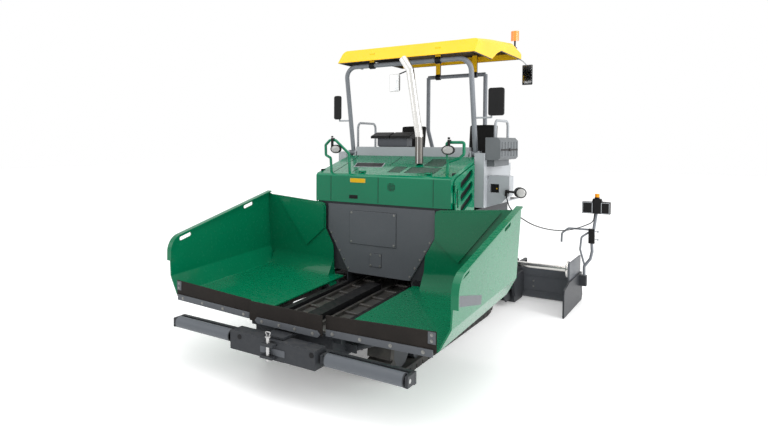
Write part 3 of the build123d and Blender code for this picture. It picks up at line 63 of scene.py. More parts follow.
cameraSetup = {
    "location": (3.29318, y0 - 4.50572, 2.32302),
    "azimuth": 36.542,
    "elevation": 1.644,
    "roll": 0.118,
    "lens": 27.757,
    "shift": (0.13077, -0.07334),
}


def addCamera(setup):
    azimuth, elevation, roll = (radians(setup[k]) for k in ("azimuth", "elevation", "roll"))
    back = Vector((sin(azimuth) * cos(elevation), -cos(azimuth) * cos(elevation), sin(elevation)))
    right = Vector((0, 0, 1)).cross(back).normalized()
    up = back.cross(right)
    rolledRight = right * cos(roll) + up * sin(roll)
    rolledUp = up * cos(roll) - right * sin(roll)
    bpy.ops.object.camera_add()
    camera = bpy.context.object
    camera.matrix_world = Matrix((
        (rolledRight.x, rolledUp.x, back.x, setup["location"][0]),
        (rolledRight.y, rolledUp.y, back.y, setup["location"][1]),
        (rolledRight.z, rolledUp.z, back.z, setup["location"][2]),
        (0, 0, 0, 1),
    ))
    camera.data.sensor_width = 36
    camera.data.lens = setup["lens"]
    camera.data.shift_x, camera.data.shift_y = setup["shift"]
    camera.data.clip_end = 200
    bpy.context.scene.camera = camera


studio = {
    "sky": (1.0, 1.0, 1.0),
    "skyStrength": 1.0,
    "floor": (0.95, 0.95, 0.95),
    "softboxes": [
        {"name": "topBox", "at": (0.5, -1.5, 8.5), "aim": (0, -0.5, 1), "size": (8, 8), "power": 260},
        {"name": "leftBox", "at": (-6.5, -8, 5), "aim": (0, -1, 1), "size": (5, 4), "power": 90},
        {"name": "rightBox", "at": (9, -1, 4), "aim": (1.6, -1, 1), "size": (3, 7), "power": 460},
    ],
}


def addStudio(setup):
    scene = bpy.context.scene
    scene.view_settings.view_transform = "Standard"
    world = bpy.data.worlds.new("studioWorld")
    world.use_nodes = True
    background = world.node_tree.nodes["Background"]
    background.inputs["Color"].default_value = (*setup["sky"], 1)
    background.inputs["Strength"].default_value = setup["skyStrength"]
    scene.world = world
    for box in setup["softboxes"]:
        bpy.ops.object.light_add(type="AREA", location=box["at"])
        light = bpy.context.object
        light.name = box["name"]
        light.data.shape = "RECTANGLE"
        light.data.size, light.data.size_y = box["size"]
        light.data.energy = box["power"]
        aim = Vector(box["aim"]) - Vector(box["at"])
        light.rotation_euler = aim.to_track_quat("-Z", "Y").to_euler()
    bpy.ops.mesh.primitive_plane_add(size=90, location=(0, 0, -0.002))
    floor = bpy.context.object
    floor.name = "studioFloor"
    floorFinish = bpy.data.materials.new("floorFinish")
    floorFinish.use_nodes = True
    shader = floorFinish.node_tree.nodes["Principled BSDF"]
    shader.inputs["Base Color"].default_value = (*setup["floor"], 1)
    shader.inputs["Roughness"].default_value = 0.35
    shader.inputs["Specular IOR Level"].default_value = 0.3
    shader.inputs["Emission Color"].default_value = (1, 1, 1, 1)
    shader.inputs["Emission Strength"].default_value = 0.22
    floor.data.materials.append(floorFinish)


addCamera(cameraSetup)
addStudio(studio)
print("camera and studio ready")

# The effects that several finishes share, each a node group


def newGroup(name, inputs, outputs):
    group = bpy.data.node_groups.new(name, "ShaderNodeTree")
    for label, kind, value in inputs:
        socket = group.interface.new_socket(label, in_out="INPUT", socket_type=kind)
        socket.default_value = value
    for label, kind in outputs:
        group.interface.new_socket(label, in_out="OUTPUT", socket_type=kind)
    start = group.nodes.new("NodeGroupInput")
    end = group.nodes.new("NodeGroupOutput")
    return group, start, end


def addNode(tree, kind, **settings):
    node = tree.nodes.new(kind)
    for key, value in settings.items():
        if key in node.inputs:
            node.inputs[key].default_value = value
        else:
            setattr(node, key, value)
    return node


def mixColors(tree, factor, first, second):
    mix = tree.nodes.new("ShaderNodeMix")
    mix.data_type = "RGBA"
    for socket, value in ((mix.inputs[0], factor), (mix.inputs[6], first), (mix.inputs[7], second)):
        if isinstance(value, bpy.types.NodeSocket):
            tree.links.new(value, socket)
        else:
            socket.default_value = value
    return mix.outputs[2]


def remap(tree, value, low, high, toLow, toHigh):
    node = tree.nodes.new("ShaderNodeMapRange")
    tree.links.new(value, node.inputs["Value"])
    for label, number in (("From Min", low), ("From Max", high), ("To Min", toLow), ("To Max", toHigh)):
        node.inputs[label].default_value = number
    return node.outputs["Result"]


floatKind, colorKind = "NodeSocketFloat", "NodeSocketColor"


def makeCoatedSkin():
    # Sprayed paint: slight cloudiness, orange peel, and a little dust on what faces up
    group, start, end = newGroup(
        "sprayedSkin",
        [("Paint", colorKind, (0.1, 0.1, 0.1, 1)), ("Dust", colorKind, (0.3, 0.28, 0.25, 1)),
         ("Dust Amount", floatKind, 0.1), ("Gloss", floatKind, 0.3), ("Peel", floatKind, 0.3)],
        [("Color", colorKind), ("Roughness", floatKind), ("Height", floatKind)],
    )
    links = group.links
    place = addNode(group, "ShaderNodeTexCoord").outputs["Object"]
    cloud = addNode(group, "ShaderNodeTexNoise", Scale=1.7, Detail=4.0)
    speck = addNode(group, "ShaderNodeTexNoise", Scale=26.0, Detail=6.0)
    peel = addNode(group, "ShaderNodeTexNoise", Scale=210.0, Detail=2.0)
    for texture in (cloud, speck, peel):
        links.new(place, texture.inputs["Vector"])
    shade = remap(group, cloud.outputs["Fac"], 0.3, 0.7, 0.93, 1.06)
    shaded = addNode(group, "ShaderNodeVectorMath", operation="SCALE")
    links.new(start.outputs["Paint"], shaded.inputs[0])
    links.new(shade, shaded.inputs["Scale"])
    facing = addNode(group, "ShaderNodeSeparateXYZ")
    links.new(addNode(group, "ShaderNodeNewGeometry").outputs["Normal"], facing.inputs[0])
    upward = remap(group, facing.outputs["Z"], 0.5, 1.0, 0.25, 1.0)
    patch = remap(group, speck.outputs["Fac"], 0.42, 0.72, 0.0, 1.0)
    dusty = addNode(group, "ShaderNodeMath", operation="MULTIPLY")
    links.new(upward, dusty.inputs[0])
    links.new(patch, dusty.inputs[1])
    amount = addNode(group, "ShaderNodeMath", operation="MULTIPLY", use_clamp=True)
    links.new(dusty.outputs[0], amount.inputs[0])
    links.new(start.outputs["Dust Amount"], amount.inputs[1])
    color = mixColors(group, amount.outputs[0], shaded.outputs[0], start.outputs["Dust"])
    links.new(color, end.inputs["Color"])
    rough = addNode(group, "ShaderNodeMath", operation="ADD")
    links.new(start.outputs["Gloss"], rough.inputs[0])
    links.new(remap(group, dusty.outputs[0], 0.0, 1.0, 0.0, 0.22), rough.inputs[1])
    links.new(rough.outputs[0], end.inputs["Roughness"])
    height = addNode(group, "ShaderNodeMath", operation="MULTIPLY")
    links.new(peel.outputs["Fac"], height.inputs[0])
    links.new(start.outputs["Peel"], height.inputs[1])
    links.new(height.outputs[0], end.inputs["Height"])
    return group


def makeDrawnGrain():
    # Streaks along one axis, for rolled, turned and polished metal
    group, start, end = newGroup(
        "drawnGrain",
        [("Metal", colorKind, (0.6, 0.6, 0.6, 1)), ("Stain", colorKind, (0.2, 0.17, 0.14, 1)),
         ("Stain Amount", floatKind, 0.2), ("Stretch", "NodeSocketVector", (1.0, 60.0, 60.0)),
         ("Gloss", floatKind, 0.3)],
        [("Color", colorKind), ("Roughness", floatKind), ("Height", floatKind)],
    )
    links = group.links
    place = addNode(group, "ShaderNodeTexCoord").outputs["Object"]
    stretched = addNode(group, "ShaderNodeVectorMath", operation="MULTIPLY")
    links.new(place, stretched.inputs[0])
    links.new(start.outputs["Stretch"], stretched.inputs[1])
    streak = addNode(group, "ShaderNodeTexNoise", Scale=3.0, Detail=5.0)
    blotch = addNode(group, "ShaderNodeTexNoise", Scale=7.0, Detail=6.0, Roughness=0.65)
    links.new(stretched.outputs[0], streak.inputs["Vector"])
    links.new(place, blotch.inputs["Vector"])
    stain = remap(group, blotch.outputs["Fac"], 0.45, 0.7, 0.0, 1.0)
    amount = addNode(group, "ShaderNodeMath", operation="MULTIPLY", use_clamp=True)
    links.new(stain, amount.inputs[0])
    links.new(start.outputs["Stain Amount"], amount.inputs[1])
    shaded = addNode(group, "ShaderNodeVectorMath", operation="SCALE")
    links.new(start.outputs["Metal"], shaded.inputs[0])
    links.new(remap(group, streak.outputs["Fac"], 0.3, 0.7, 0.88, 1.08), shaded.inputs["Scale"])
    color = mixColors(group, amount.outputs[0], shaded.outputs[0], start.outputs["Stain"])
    links.new(color, end.inputs["Color"])
    rough = addNode(group, "ShaderNodeMath", operation="ADD")
    links.new(remap(group, streak.outputs["Fac"], 0.3, 0.7, -0.06, 0.1), rough.inputs[0])
    links.new(start.outputs["Gloss"], rough.inputs[1])
    links.new(rough.outputs[0], end.inputs["Roughness"])
    links.new(streak.outputs["Fac"], end.inputs["Height"])
    return group


def makeMouldedGrain():
    # Fine moulded texture of rubber, plastic and covers, with worn paler patches
    group, start, end = newGroup(
        "mouldedGrain",
        [("Body", colorKind, (0.03, 0.03, 0.03, 1)), ("Worn", colorKind, (0.09, 0.085, 0.08, 1)),
         ("Worn Amount", floatKind, 0.4), ("Grain Scale", floatKind, 240.0), ("Gloss", floatKind, 0.6)],
        [("Color", colorKind), ("Roughness", floatKind), ("Height", floatKind)],
    )
    links = group.links
    place = addNode(group, "ShaderNodeTexCoord").outputs["Object"]
    cell = addNode(group, "ShaderNodeTexVoronoi", feature="SMOOTH_F1")
    links.new(place, cell.inputs["Vector"])
    links.new(start.outputs["Grain Scale"], cell.inputs["Scale"])
    wear = addNode(group, "ShaderNodeTexNoise", Scale=5.0, Detail=7.0, Roughness=0.6)
    links.new(place, wear.inputs["Vector"])
    amount = addNode(group, "ShaderNodeMath", operation="MULTIPLY", use_clamp=True)
    links.new(remap(group, wear.outputs["Fac"], 0.4, 0.75, 0.0, 1.0), amount.inputs[0])
    links.new(start.outputs["Worn Amount"], amount.inputs[1])
    color = mixColors(group, amount.outputs[0], start.outputs["Body"], start.outputs["Worn"])
    links.new(color, end.inputs["Color"])
    rough = addNode(group, "ShaderNodeMath", operation="ADD")
    links.new(remap(group, wear.outputs["Fac"], 0.3, 0.7, -0.05, 0.12), rough.inputs[0])
    links.new(start.outputs["Gloss"], rough.inputs[1])
    links.new(rough.outputs[0], end.inputs["Roughness"])
    links.new(cell.outputs["Distance"], end.inputs["Height"])
    return group


coatedSkin, drawnGrain, mouldedGrain = makeCoatedSkin(), makeDrawnGrain(), makeMouldedGrain()


def newFinish(name, group, values, bump, bumpDistance, **constants):
    finish = bpy.data.materials.new(name)
    finish.use_nodes = True
    tree = finish.node_tree
    shader = tree.nodes["Principled BSDF"]
    for label, value in constants.items():
        shader.inputs[label.replace("_", " ")].default_value = value
    skin = tree.nodes.new("ShaderNodeGroup")
    skin.node_tree = group
    for label, value in values.items():
        skin.inputs[label].default_value = value
    tree.links.new(skin.outputs["Color"], shader.inputs["Base Color"])
    tree.links.new(skin.outputs["Roughness"], shader.inputs["Roughness"])
    relief = tree.nodes.new("ShaderNodeBump")
    relief.inputs["Strength"].default_value = bump
    relief.inputs["Distance"].default_value = bumpDistance
    tree.links.new(skin.outputs["Height"], relief.inputs["Height"])
    tree.links.new(relief.outputs["Normal"], shader.inputs["Normal"])
    return finish


def paintFinish(name, color, gloss, dust=0.12, coat=0.0):
    values = {"Paint": (*color, 1), "Dust Amount": dust, "Gloss": gloss, "Peel": 0.5}
    return newFinish(
        name, coatedSkin, values, 0.05, 0.0004,
        Coat_Weight=coat, Coat_Roughness=0.08, Specular_IOR_Level=0.16,
    )


def metalFinish(name, color, gloss, stain=0.1, stretch=(1.0, 60.0, 60.0), bump=0.15):
    values = {"Metal": (*color, 1), "Stain Amount": stain, "Stretch": stretch, "Gloss": gloss}
    return newFinish(name, drawnGrain, values, bump, 0.0004, Metallic=1.0)


def mouldedFinish(name, color, gloss, worn=0.3, wornColor=(0.09, 0.085, 0.08), grain=240.0, bump=0.3):
    values = {
        "Body": (*color, 1), "Worn": (*wornColor, 1), "Worn Amount": worn, "Grain Scale": grain, "Gloss": gloss,
    }
    return newFinish(name, mouldedGrain, values, bump, 0.0008, Specular_IOR_Level=0.18)


finishes = {
    "green": paintFinish("machineGreen", (0.0, 0.142, 0.062), 0.24, 0.0, 0.3),
    "hoodGreen": paintFinish("hoodGreen", (0.0, 0.168, 0.080), 0.16, 0.0, 0.3),
    "grey": paintFinish("frameGrey", (0.098, 0.106, 0.118), 0.34, 0.08),
    "lightGrey": paintFinish("railGrey", (0.185, 0.198, 0.218), 0.3, 0.04, 0.1),
    "rollerGrey": paintFinish("rollerGrey", (0.112, 0.123, 0.138), 0.36, 0.06),
    "silver": paintFinish("silverPaint", (0.36, 0.38, 0.40), 0.3, 0.03),
    "pale": paintFinish("paleRim", (0.66, 0.66, 0.65), 0.35, 0.02),
    "darkGrey": paintFinish("chassisGrey", (0.034, 0.037, 0.042), 0.42, 0.1),
    "black": paintFinish("blackEnamel", (0.006, 0.006, 0.007), 0.4, 0.05),
    "yellow": paintFinish("roofYellow", (0.88, 0.50, 0.008), 0.3, 0.0, 0.1),
    "yellowPlate": paintFinish("yellowPlate", (0.72, 0.42, 0.01), 0.4, 0.0),
    "chrome": metalFinish("polishedPipe", (0.80, 0.79, 0.76), 0.16, 0.06),
    "steel": metalFinish("rolledSteel", (0.50, 0.50, 0.50), 0.34, 0.2),
    "boltZinc": metalFinish("boltZinc", (0.26, 0.26, 0.25), 0.42, 0.2),
    "worn": metalFinish("scouredSteel", (0.16, 0.155, 0.15), 0.45, 0.5),
    "rubber": mouldedFinish("flapRubber", (0.015, 0.0125, 0.011), 0.72, 0.5, (0.034, 0.029, 0.026), 160.0),
    "trackRubber": mouldedFinish("trackPads", (0.03, 0.03, 0.03), 0.8, 0.6, (0.11, 0.10, 0.09), 120.0),
    "plastic": mouldedFinish(
        "blackMoulding", (0.009, 0.009, 0.0095), 0.48, 0.25, (0.025, 0.025, 0.025), 420.0),
    "toolGrey": mouldedFinish("toolBoxShell", (0.12, 0.13, 0.137), 0.5, 0.3, (0.17, 0.18, 0.19), 380.0),
    "seatCover": mouldedFinish("seatCover", (0.005, 0.005, 0.005), 0.62, 0.3, (0.013, 0.013, 0.013), 520.0),
    "cable": mouldedFinish("cableSheath", (0.02, 0.022, 0.024), 0.5, 0.2, (0.05, 0.05, 0.05), 300.0),
    "orange": paintFinish("orangeKnob", (0.85, 0.30, 0.01), 0.3, 0.0),
}


def glassFinish(name, color, roughness, **constants):
    finish = bpy.data.materials.new(name)
    finish.use_nodes = True
    tree = finish.node_tree
    shader = tree.nodes["Principled BSDF"]
    for label, value in constants.items():
        shader.inputs[label.replace("_", " ")].default_value = value
    ripple = addNode(tree, "ShaderNodeTexNoise", Scale=60.0, Detail=2.0)
    tree.links.new(addNode(tree, "ShaderNodeTexCoord").outputs["Object"], ripple.inputs["Vector"])
    tint = mixColors(tree, ripple.outputs["Fac"], (*color, 1), (*(c * 0.9 for c in color), 1))
    tree.links.new(tint, shader.inputs["Base Color"])
    rough = remap(tree, ripple.outputs["Fac"], 0.3, 0.7, roughness, roughness + 0.06)
    tree.links.new(rough, shader.inputs["Roughness"])
    return finish


finishes["mirror"] = glassFinish("mirrorGlass", (0.85, 0.87, 0.88), 0.03, Metallic=1.0)
finishes["lens"] = glassFinish("lampLens", (0.36, 0.36, 0.35), 0.12, Coat_Weight=1.0)
finishes["amber"] = glassFinish("amberLens", (0.85, 0.26, 0.02), 0.14, Coat_Weight=1.0)
print("finishes ready:", len(finishes))

# Helpers for shaping pieces


def deselectAll():
    if bpy.context.object and bpy.context.object.mode != "OBJECT":
        bpy.ops.object.mode_set(mode="OBJECT")
    bpy.ops.object.select_all(action="DESELECT")


def pick(obj):
    deselectAll()
    obj.select_set(True)
    bpy.context.view_layer.objects.active = obj


def modify(obj, kind, **settings):
    pick(obj)
    modifier = obj.modifiers.new(kind.lower(), kind)
    for key, value in settings.items():
        setattr(modifier, key, value)
    bpy.ops.object.modifier_apply(modifier=modifier.name)


def settle(obj):
    pick(obj)
    bpy.ops.object.transform_apply(location=True, rotation=True, scale=True)


def roundEdges(obj, width, segments=2, angle=32):
    modify(obj, "BEVEL", width=width, segments=segments, limit_method="ANGLE", angle_limit=radians(angle))
    pick(obj)
    bpy.ops.object.shade_smooth_by_angle(angle=radians(50))
    modify(obj, "WEIGHTED_NORMAL", weight=100, keep_sharp=True)


def finishPiece(obj, body, finish, replaces=()):
    settle(obj)
    obj.data.materials.clear()
    obj.data.materials.append(finishes[finish])
    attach(obj, body)
    if replaces:
        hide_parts(*replaces)
    return obj


def joinAll(objects, name):
    deselectAll()
    for obj in objects:
        obj.select_set(True)
    bpy.context.view_layer.objects.active = objects[0]
    bpy.ops.object.join()
    objects[0].name = name
    return objects[0]


def addBox(name, x, y, z, edge=0.004, segments=2):
    deselectAll()
    centre = [(a[0] + a[1]) / 2 for a in (x, y, z)]
    bpy.ops.mesh.primitive_cube_add(size=1, location=centre)
    obj = bpy.context.object
    obj.name = name
    obj.scale = [abs(a[1] - a[0]) for a in (x, y, z)]
    settle(obj)
    if edge:
        roundEdges(obj, edge, segments)
    return obj


def addSlab(name, outline, run, edge=0.003, segments=2):
    # A flat outline, given as 3-D points in order, pushed along a run
    deselectAll()
    bpy.ops.mesh.primitive_circle_add(vertices=len(outline), fill_type="NGON")
    obj = bpy.context.object
    obj.name = name
    for vertex, point in zip(obj.data.vertices, outline):
        vertex.co = point
    bpy.ops.object.mode_set(mode="EDIT")
    bpy.ops.mesh.select_all(action="SELECT")
    bpy.ops.mesh.extrude_region_move(TRANSFORM_OT_translate={"value": run})
    bpy.ops.mesh.select_all(action="SELECT")
    bpy.ops.mesh.normals_make_consistent(inside=False)
    bpy.ops.object.mode_set(mode="OBJECT")
    if edge:
        roundEdges(obj, edge, segments)
    return obj


def addRod(name, start, end, radius, edge=0.002, sides=32):
    start, end = Vector(start), Vector(end)
    run = end - start
    deselectAll()
    bpy.ops.mesh.primitive_cone_add(
        vertices=sides, radius1=radius, radius2=radius, depth=run.length,
        location=(start + end) / 2, rotation=run.to_track_quat("Z", "Y").to_euler(),
    )
    obj = bpy.context.object
    obj.name = name
    settle(obj)
    if edge:
        roundEdges(obj, edge, 2, 40)
    return obj


def addPipe(name, points, radius, bend=0.05, sides=10, segments=8, closed=False):
    # One vertex drawn out along the runs, its corners rounded, then given a round section
    deselectAll()
    bpy.ops.mesh.primitive_plane_add(size=1)
    obj = bpy.context.object
    obj.name = name
    bpy.ops.object.mode_set(mode="EDIT")
    bpy.ops.mesh.select_all(action="SELECT")
    bpy.ops.mesh.merge(type="CENTER")
    bpy.ops.transform.translate(value=points[0])
    for before, after in zip(points, points[1:]):
        bpy.ops.mesh.extrude_region_move(TRANSFORM_OT_translate={"value": Vector(after) - Vector(before)})
    if closed:
        bpy.ops.mesh.select_all(action="SELECT")
        bpy.ops.mesh.edge_face_add()
        bpy.ops.mesh.delete(type="ONLY_FACE")
    bpy.ops.object.mode_set(mode="OBJECT")
    mesh = obj.data
    degree = {v.index: 0 for v in mesh.vertices}
    for edge in mesh.edges:
        for index in edge.vertices:
            degree[index] += 1
    bpy.ops.object.mode_set(mode="EDIT")
    bpy.ops.mesh.select_all(action="DESELECT")
    shape = bmesh.from_edit_mesh(obj.data)
    shape.verts.ensure_lookup_table()
    for index, count in degree.items():
        shape.verts[index].select = count == 2
    bmesh.update_edit_mesh(obj.data)
    if bend and any(count == 2 for count in degree.values()):
        bpy.ops.mesh.bevel(offset=bend, segments=segments, affect="VERTICES")
    bpy.ops.object.mode_set(mode="OBJECT")
    bpy.ops.object.convert(target="CURVE")
    obj = bpy.context.object
    obj.data.bevel_depth = radius
    obj.data.bevel_resolution = sides // 2 - 1
    obj.data.use_fill_caps = True
    bpy.ops.object.convert(target="MESH")
    obj = bpy.context.object
    bpy.ops.object.shade_smooth_by_angle(angle=radians(50))
    return obj


def addBolts(name, spots, direction, radius=0.009, height=0.007, sides=6, washer=1.5):
    # Bolt heads on washers: one is modelled, the rest are copies
    direction = Vector(direction).normalized()
    head = addRod(name, (0, 0, 0), direction * height, radius, 0.0012, sides)
    ring = addRod(name + "Washer", direction * -0.001, direction * 0.0022, radius * washer, 0.0006, 16)
    first = joinAll([head, ring], name)
    copies = []
    for spot in spots:
        copy = first.copy()
        copy.data = first.data.copy()
        copy.location = spot
        bpy.context.collection.objects.link(copy)
        copies.append(copy)
    bpy.data.objects.remove(first)
    return joinAll(copies, name)


def bareCopy(source, name):
    # A copy without its source's parent and custom properties
    copy = source.copy()
    copy.data = source.data.copy()
    bpy.context.collection.objects.link(copy)
    copy.parent = None
    for key in list(copy.keys()):
        del copy[key]
    copy.name = name
    return copy


def mirrored(obj, name):
    # The same piece on the other side
    copy = bareCopy(obj, name)
    pick(copy)
    bpy.ops.object.mode_set(mode="EDIT")
    bpy.ops.mesh.select_all(action="SELECT")
    bpy.ops.transform.mirror(
        constraint_axis=(True, False, False), orient_type="GLOBAL", center_override=(0, 0, 0),
    )
    bpy.ops.mesh.normals_make_consistent(inside=False)
    bpy.ops.object.mode_set(mode="OBJECT")
    return copy


def bothSides(body, *pieces):
    # Left pieces, each given as (piece, finish, slot), and their mirror images on the right; the slot is not
    # used
    for piece, finish, slot in pieces:
        twin = mirrored(piece, piece.name.replace("Left", "Right"))
        finishPiece(piece, body + "_left", finish)
        finishPiece(twin, body + "_right", finish)


def softened(node, finish, edge=0.003, segments=2, angle=38):
    # A merged copy of a CAD piece with rounded edges
    source = nodes[node]
    copy = bareCopy(source, node + "Dressed")
    copy.hide_render = False
    pick(copy)
    bpy.ops.object.mode_set(mode="EDIT")
    bpy.ops.mesh.select_all(action="SELECT")
    bpy.ops.mesh.remove_doubles(threshold=0.00002)
    bpy.ops.mesh.dissolve_limited(angle_limit=radians(0.6))
    bpy.ops.object.mode_set(mode="OBJECT")
    roundEdges(copy, edge, segments, angle)
    return finishPiece(copy, source["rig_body"], finish, replaces=[node])


# The cable from the tractor to the left control panel

cableRoute = {
    "diameter": 0.014,
    "length": 2.634,
    "points": [
        (1.250, 2.680, 1.716), (1.250, 2.680, 1.680), (1.272, 2.668, 1.620), (1.278, 2.700, 1.572),
        (1.278, 2.790, 1.530), (1.285, 2.950, 1.459), (1.310, 3.150, 1.386), (1.355, 3.370, 1.301),
        (1.402, 3.600, 1.238), (1.460, 3.830, 1.186), (1.535, 4.070, 1.148), (1.608, 4.300, 1.131),
        (1.686, 4.530, 1.138), (1.763, 4.730, 1.166), (1.815, 4.865, 1.190), (1.835, 4.945, 1.235),
        (1.835, 4.945, 1.313),
    ],
}


def addCable(route):
    points = [(x, y0 + y, z) for x, y, z in route["points"]]
    line = bpy.data.curves.new("panelCableLine", "CURVE")
    line.dimensions = "3D"
    spline = line.splines.new("NURBS")
    spline.points.add(len(points) - 1)
    for point, place in zip(spline.points, points):
        point.co = (*place, 1)
    spline.order_u = 3
    spline.use_endpoint_u = True
    line.resolution_u = 16
    line.bevel_depth = route["diameter"] / 2
    line.bevel_resolution = 5
    line.use_fill_caps = True
    cable = bpy.data.objects.new("panelCable", line)
    bpy.context.collection.objects.link(cable)
    line.materials.append(finishes["cable"])
    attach(cable, "panel_cable")
    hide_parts("panel_cable")


addCable(cableRoute)
print("cable laid")

# CAD pieces that keep their shape and get softened edges

softPieces = {
    "green": ["wing_left", "wing_right"],
    "hoodGreen": ["hood_surround", "hood_lid", "side_door_left", "side_door_right"],
    "grey": ["centre_plate", "flap_bar_left", "flap_bar_right", "flap_bar_centre", "console",
             "extension_left", "extension_right"],
    "toolGrey": ["toolbox"],
    "silver": ["platform"],
    "lightGrey": ["front_hoop", "rear_posts", "control_post_left", "control_post_right"],
    "black": ["conveyor_guards"],
    "darkGrey": ["main_frame", "push_beam", "track_frames", "tow_arms", "levelling_cylinders",
                 "auger_carrier", "screed_frame", "screed_walkway",
                 "end_gate_left", "end_gate_right", "wing_barrel_left", "wing_barrel_right", "lift_barrels",
                 "seat_base_left", "seat_base_right", "engine_block"],
    "rubber": ["flap_left", "flap_right", "flap_centre"],
    "chrome": ["exhaust", "extension_tube_left", "extension_tube_right", "wing_rod_left", "wing_rod_right",
               "lift_rods"],
    "rollerGrey": ["push_roller_left", "push_roller_right"],
    "worn": ["conveyor_floor", "conveyor_slats", "auger_left", "auger_right"],
    "trackRubber": ["track_left", "track_right"],
    "plastic": ["work_lamps", "hoop_mirrors"],
    "yellow": ["roof_panel"],
    "amber": ["beacon"],
}
dressed = {}
for finish, names in softPieces.items():
    for name in names:
        dressed[name] = softened(name, finish)
    print("softened", finish, len(names))

# Faces of those pieces that have another finish or painted shade, and the heights where it changes

heights = {
    "roofRim": 3.395,
    "consoleTop": 2.3845,
    "beaconFoot": 3.7795,
    "exhaustFoot": 2.3,
    "exhaustMouth": 3.32,
    "mirrorArms": 2.648,
    "deck": 1.6,
    "postFoot": 0.401,
    "panelFoot": 1.3145,
    "panelKnob": 1.5285,
}


def repaint(name, finish, chosen):
    piece = dressed[name]
    piece.data.materials.append(finishes[finish])
    number = len(piece.data.materials) - 1
    for face in piece.data.polygons:
        if chosen(face.center, face.normal):
            face.material_index = number


def isMoulded(c, n):
    # The panel at the top of a post, and the block beside the post below it
    return c.z > heights["panelFoot"] or (1.757 < abs(c.x) < 1.835 and 0.875 < c.z < 1.088)


repaint(
    "roof_panel", "black",
    lambda c, n: n.z < -0.2 or n.x * c.x < -0.3 or (c.z < heights["roofRim"] and abs(c.x) < 0.6))
repaint("console", "plastic", lambda c, n: c.z > heights["consoleTop"])
repaint("beacon", "plastic", lambda c, n: c.z < heights["beaconFoot"])
repaint("exhaust", "worn", lambda c, n: c.z < heights["exhaustFoot"])
# The solid stack's slanted mouth is painted black: painted shade where the open pipe would be dark inside
repaint(
    "exhaust", "black",
    lambda c, n: c.z > heights["exhaustMouth"] and n.x < -0.4 and n.z > 0.4 and abs(n.y) < 0.2)
repaint("hoop_mirrors", "silver", lambda c, n: c.z < heights["mirrorArms"])
repaint("platform", "darkGrey", lambda c, n: n.z > 0.9 and c.z < heights["deck"])
for sideName in ("left", "right"):
    post = "control_post_" + sideName
    repaint(post, "plastic", isMoulded)
    repaint(post, "orange", lambda c, n: c.z > heights["panelKnob"])
    repaint(post, "darkGrey", lambda c, n: c.z < heights["postFoot"])
    repaint("push_roller_" + sideName, "steel", lambda c, n: abs(c.x) < 0.544 or abs(c.x) > 1.301)

# Places and directions that several pieces share

forward = (0, -1, 0)
hoodLine = {"y": 1.876, "z": 1.942, "rise": 0.25243}


def spot(x, y, z):
    # y counts from the hopper's front edge
    return (x, y0 + y, z)


def rectangle(xs, y, zs):
    return [spot(x, y, z) for x, z in ((xs[0], zs[0]), (xs[1], zs[0]), (xs[1], zs[1]), (xs[0], zs[1]))]


def hoodTop(y):
    # Height of the hood's sloping top, y behind the hopper's front edge
    return hoodLine["z"] + hoodLine["rise"] * (y - hoodLine["y"])


# Seats: two cushions each, blown up from side outlines given as (y, z) round the seat's middle

seats = {
    "left": {"x": 0.705, "y": 3.29},
    "right": {"x": -0.345, "y": 3.40},
}
cushions = {
    "Cushion": {"half": 0.202, "outline": [(-0.222, 2.02), (0.192, 2.02), (0.192, 2.098), (-0.222, 2.104)]},
    "Back": {"half": 0.178, "outline": [(0.128, 2.108), (0.196, 2.108), (0.262, 2.562), (0.188, 2.562)]},
}
blowing = {"edge": 0.018, "voxel": 0.006, "pressure": 4, "lastFrame": 8, "kept": 0.25}


def addCushion(name, outline, x):
    # The outline across the seat's width, remeshed and filled like a cushion
    corners = [spot(x[0], y, z) for y, z in outline]
    slab = addSlab(name, corners, (x[1] - x[0], 0, 0), blowing["edge"], 3)
    modify(slab, "REMESH", mode="VOXEL", voxel_size=blowing["voxel"])
    pick(slab)
    cloth = slab.modifiers.new("cloth", "CLOTH")
    cloth.settings.use_pressure = True
    cloth.settings.uniform_pressure_force = blowing["pressure"]
    cloth.settings.effector_weights.gravity = 0
    cloth.point_cache.frame_start, cloth.point_cache.frame_end = 1, blowing["lastFrame"]
    for number in range(1, blowing["lastFrame"] + 1):
        bpy.context.scene.frame_set(number)
    bpy.ops.object.modifier_apply(modifier="cloth")
    bpy.context.scene.frame_set(1)
    modify(slab, "DECIMATE", ratio=blowing["kept"])
    pick(slab)
    bpy.ops.object.shade_smooth()
    return slab


for side, seat in seats.items():
    pads = []
    for part, shape in cushions.items():
        outline = [(seat["y"] + y, z) for y, z in shape["outline"]]
        width = (seat["x"] - shape["half"], seat["x"] + shape["half"])
        pads.append(addCushion("seat" + part + side.title(), outline, width))
    for pad in pads:
        finishPiece(pad, "seat_" + side, "seatCover", ["seat_" + side])
print("seats padded")

# Hood: panel seams, yellow plate, handle, dot grille, bare badge, fins in the air grilles over painted shade

hoodDetails = {
    "faceY": 1.8462,
    "seamRadius": 0.0032,
    "lidEdges": (-0.42, 0.74),
    "badge": [(-0.524, 2.16), (-0.124, 2.175), (-0.17, 2.357), (-0.577, 2.348)],
    "frontPlate": ((-0.39, -0.18), (1.837, 1.888)),
    "handle": ((-0.402, -0.286), (1.638, 1.682)),
    "dots": ((0.125, 0.205), (1.76, 1.84)),
    "dotStep": 0.0165,
    "lidFins": [(0.048, 0.196), (0.268, 0.630)],
    "rearFins": (0.385, 0.610),
    "finPitch": 0.042,
}


def addFaceSeam(x, radius=hoodDetails["seamRadius"]):
    y = hoodDetails["faceY"]
    return addRod("seam", spot(x, y, 1.60), spot(x, y, 1.91), radius, 0, 8)


def addTopSeam(start, end, radius=hoodDetails["seamRadius"], sunk=0):
    # Ends given as (x, y)
    ends = [spot(x, y, hoodTop(y) - sunk) for x, y in (start, end)]
    return addRod("seam", *ends, radius, 0, 8)


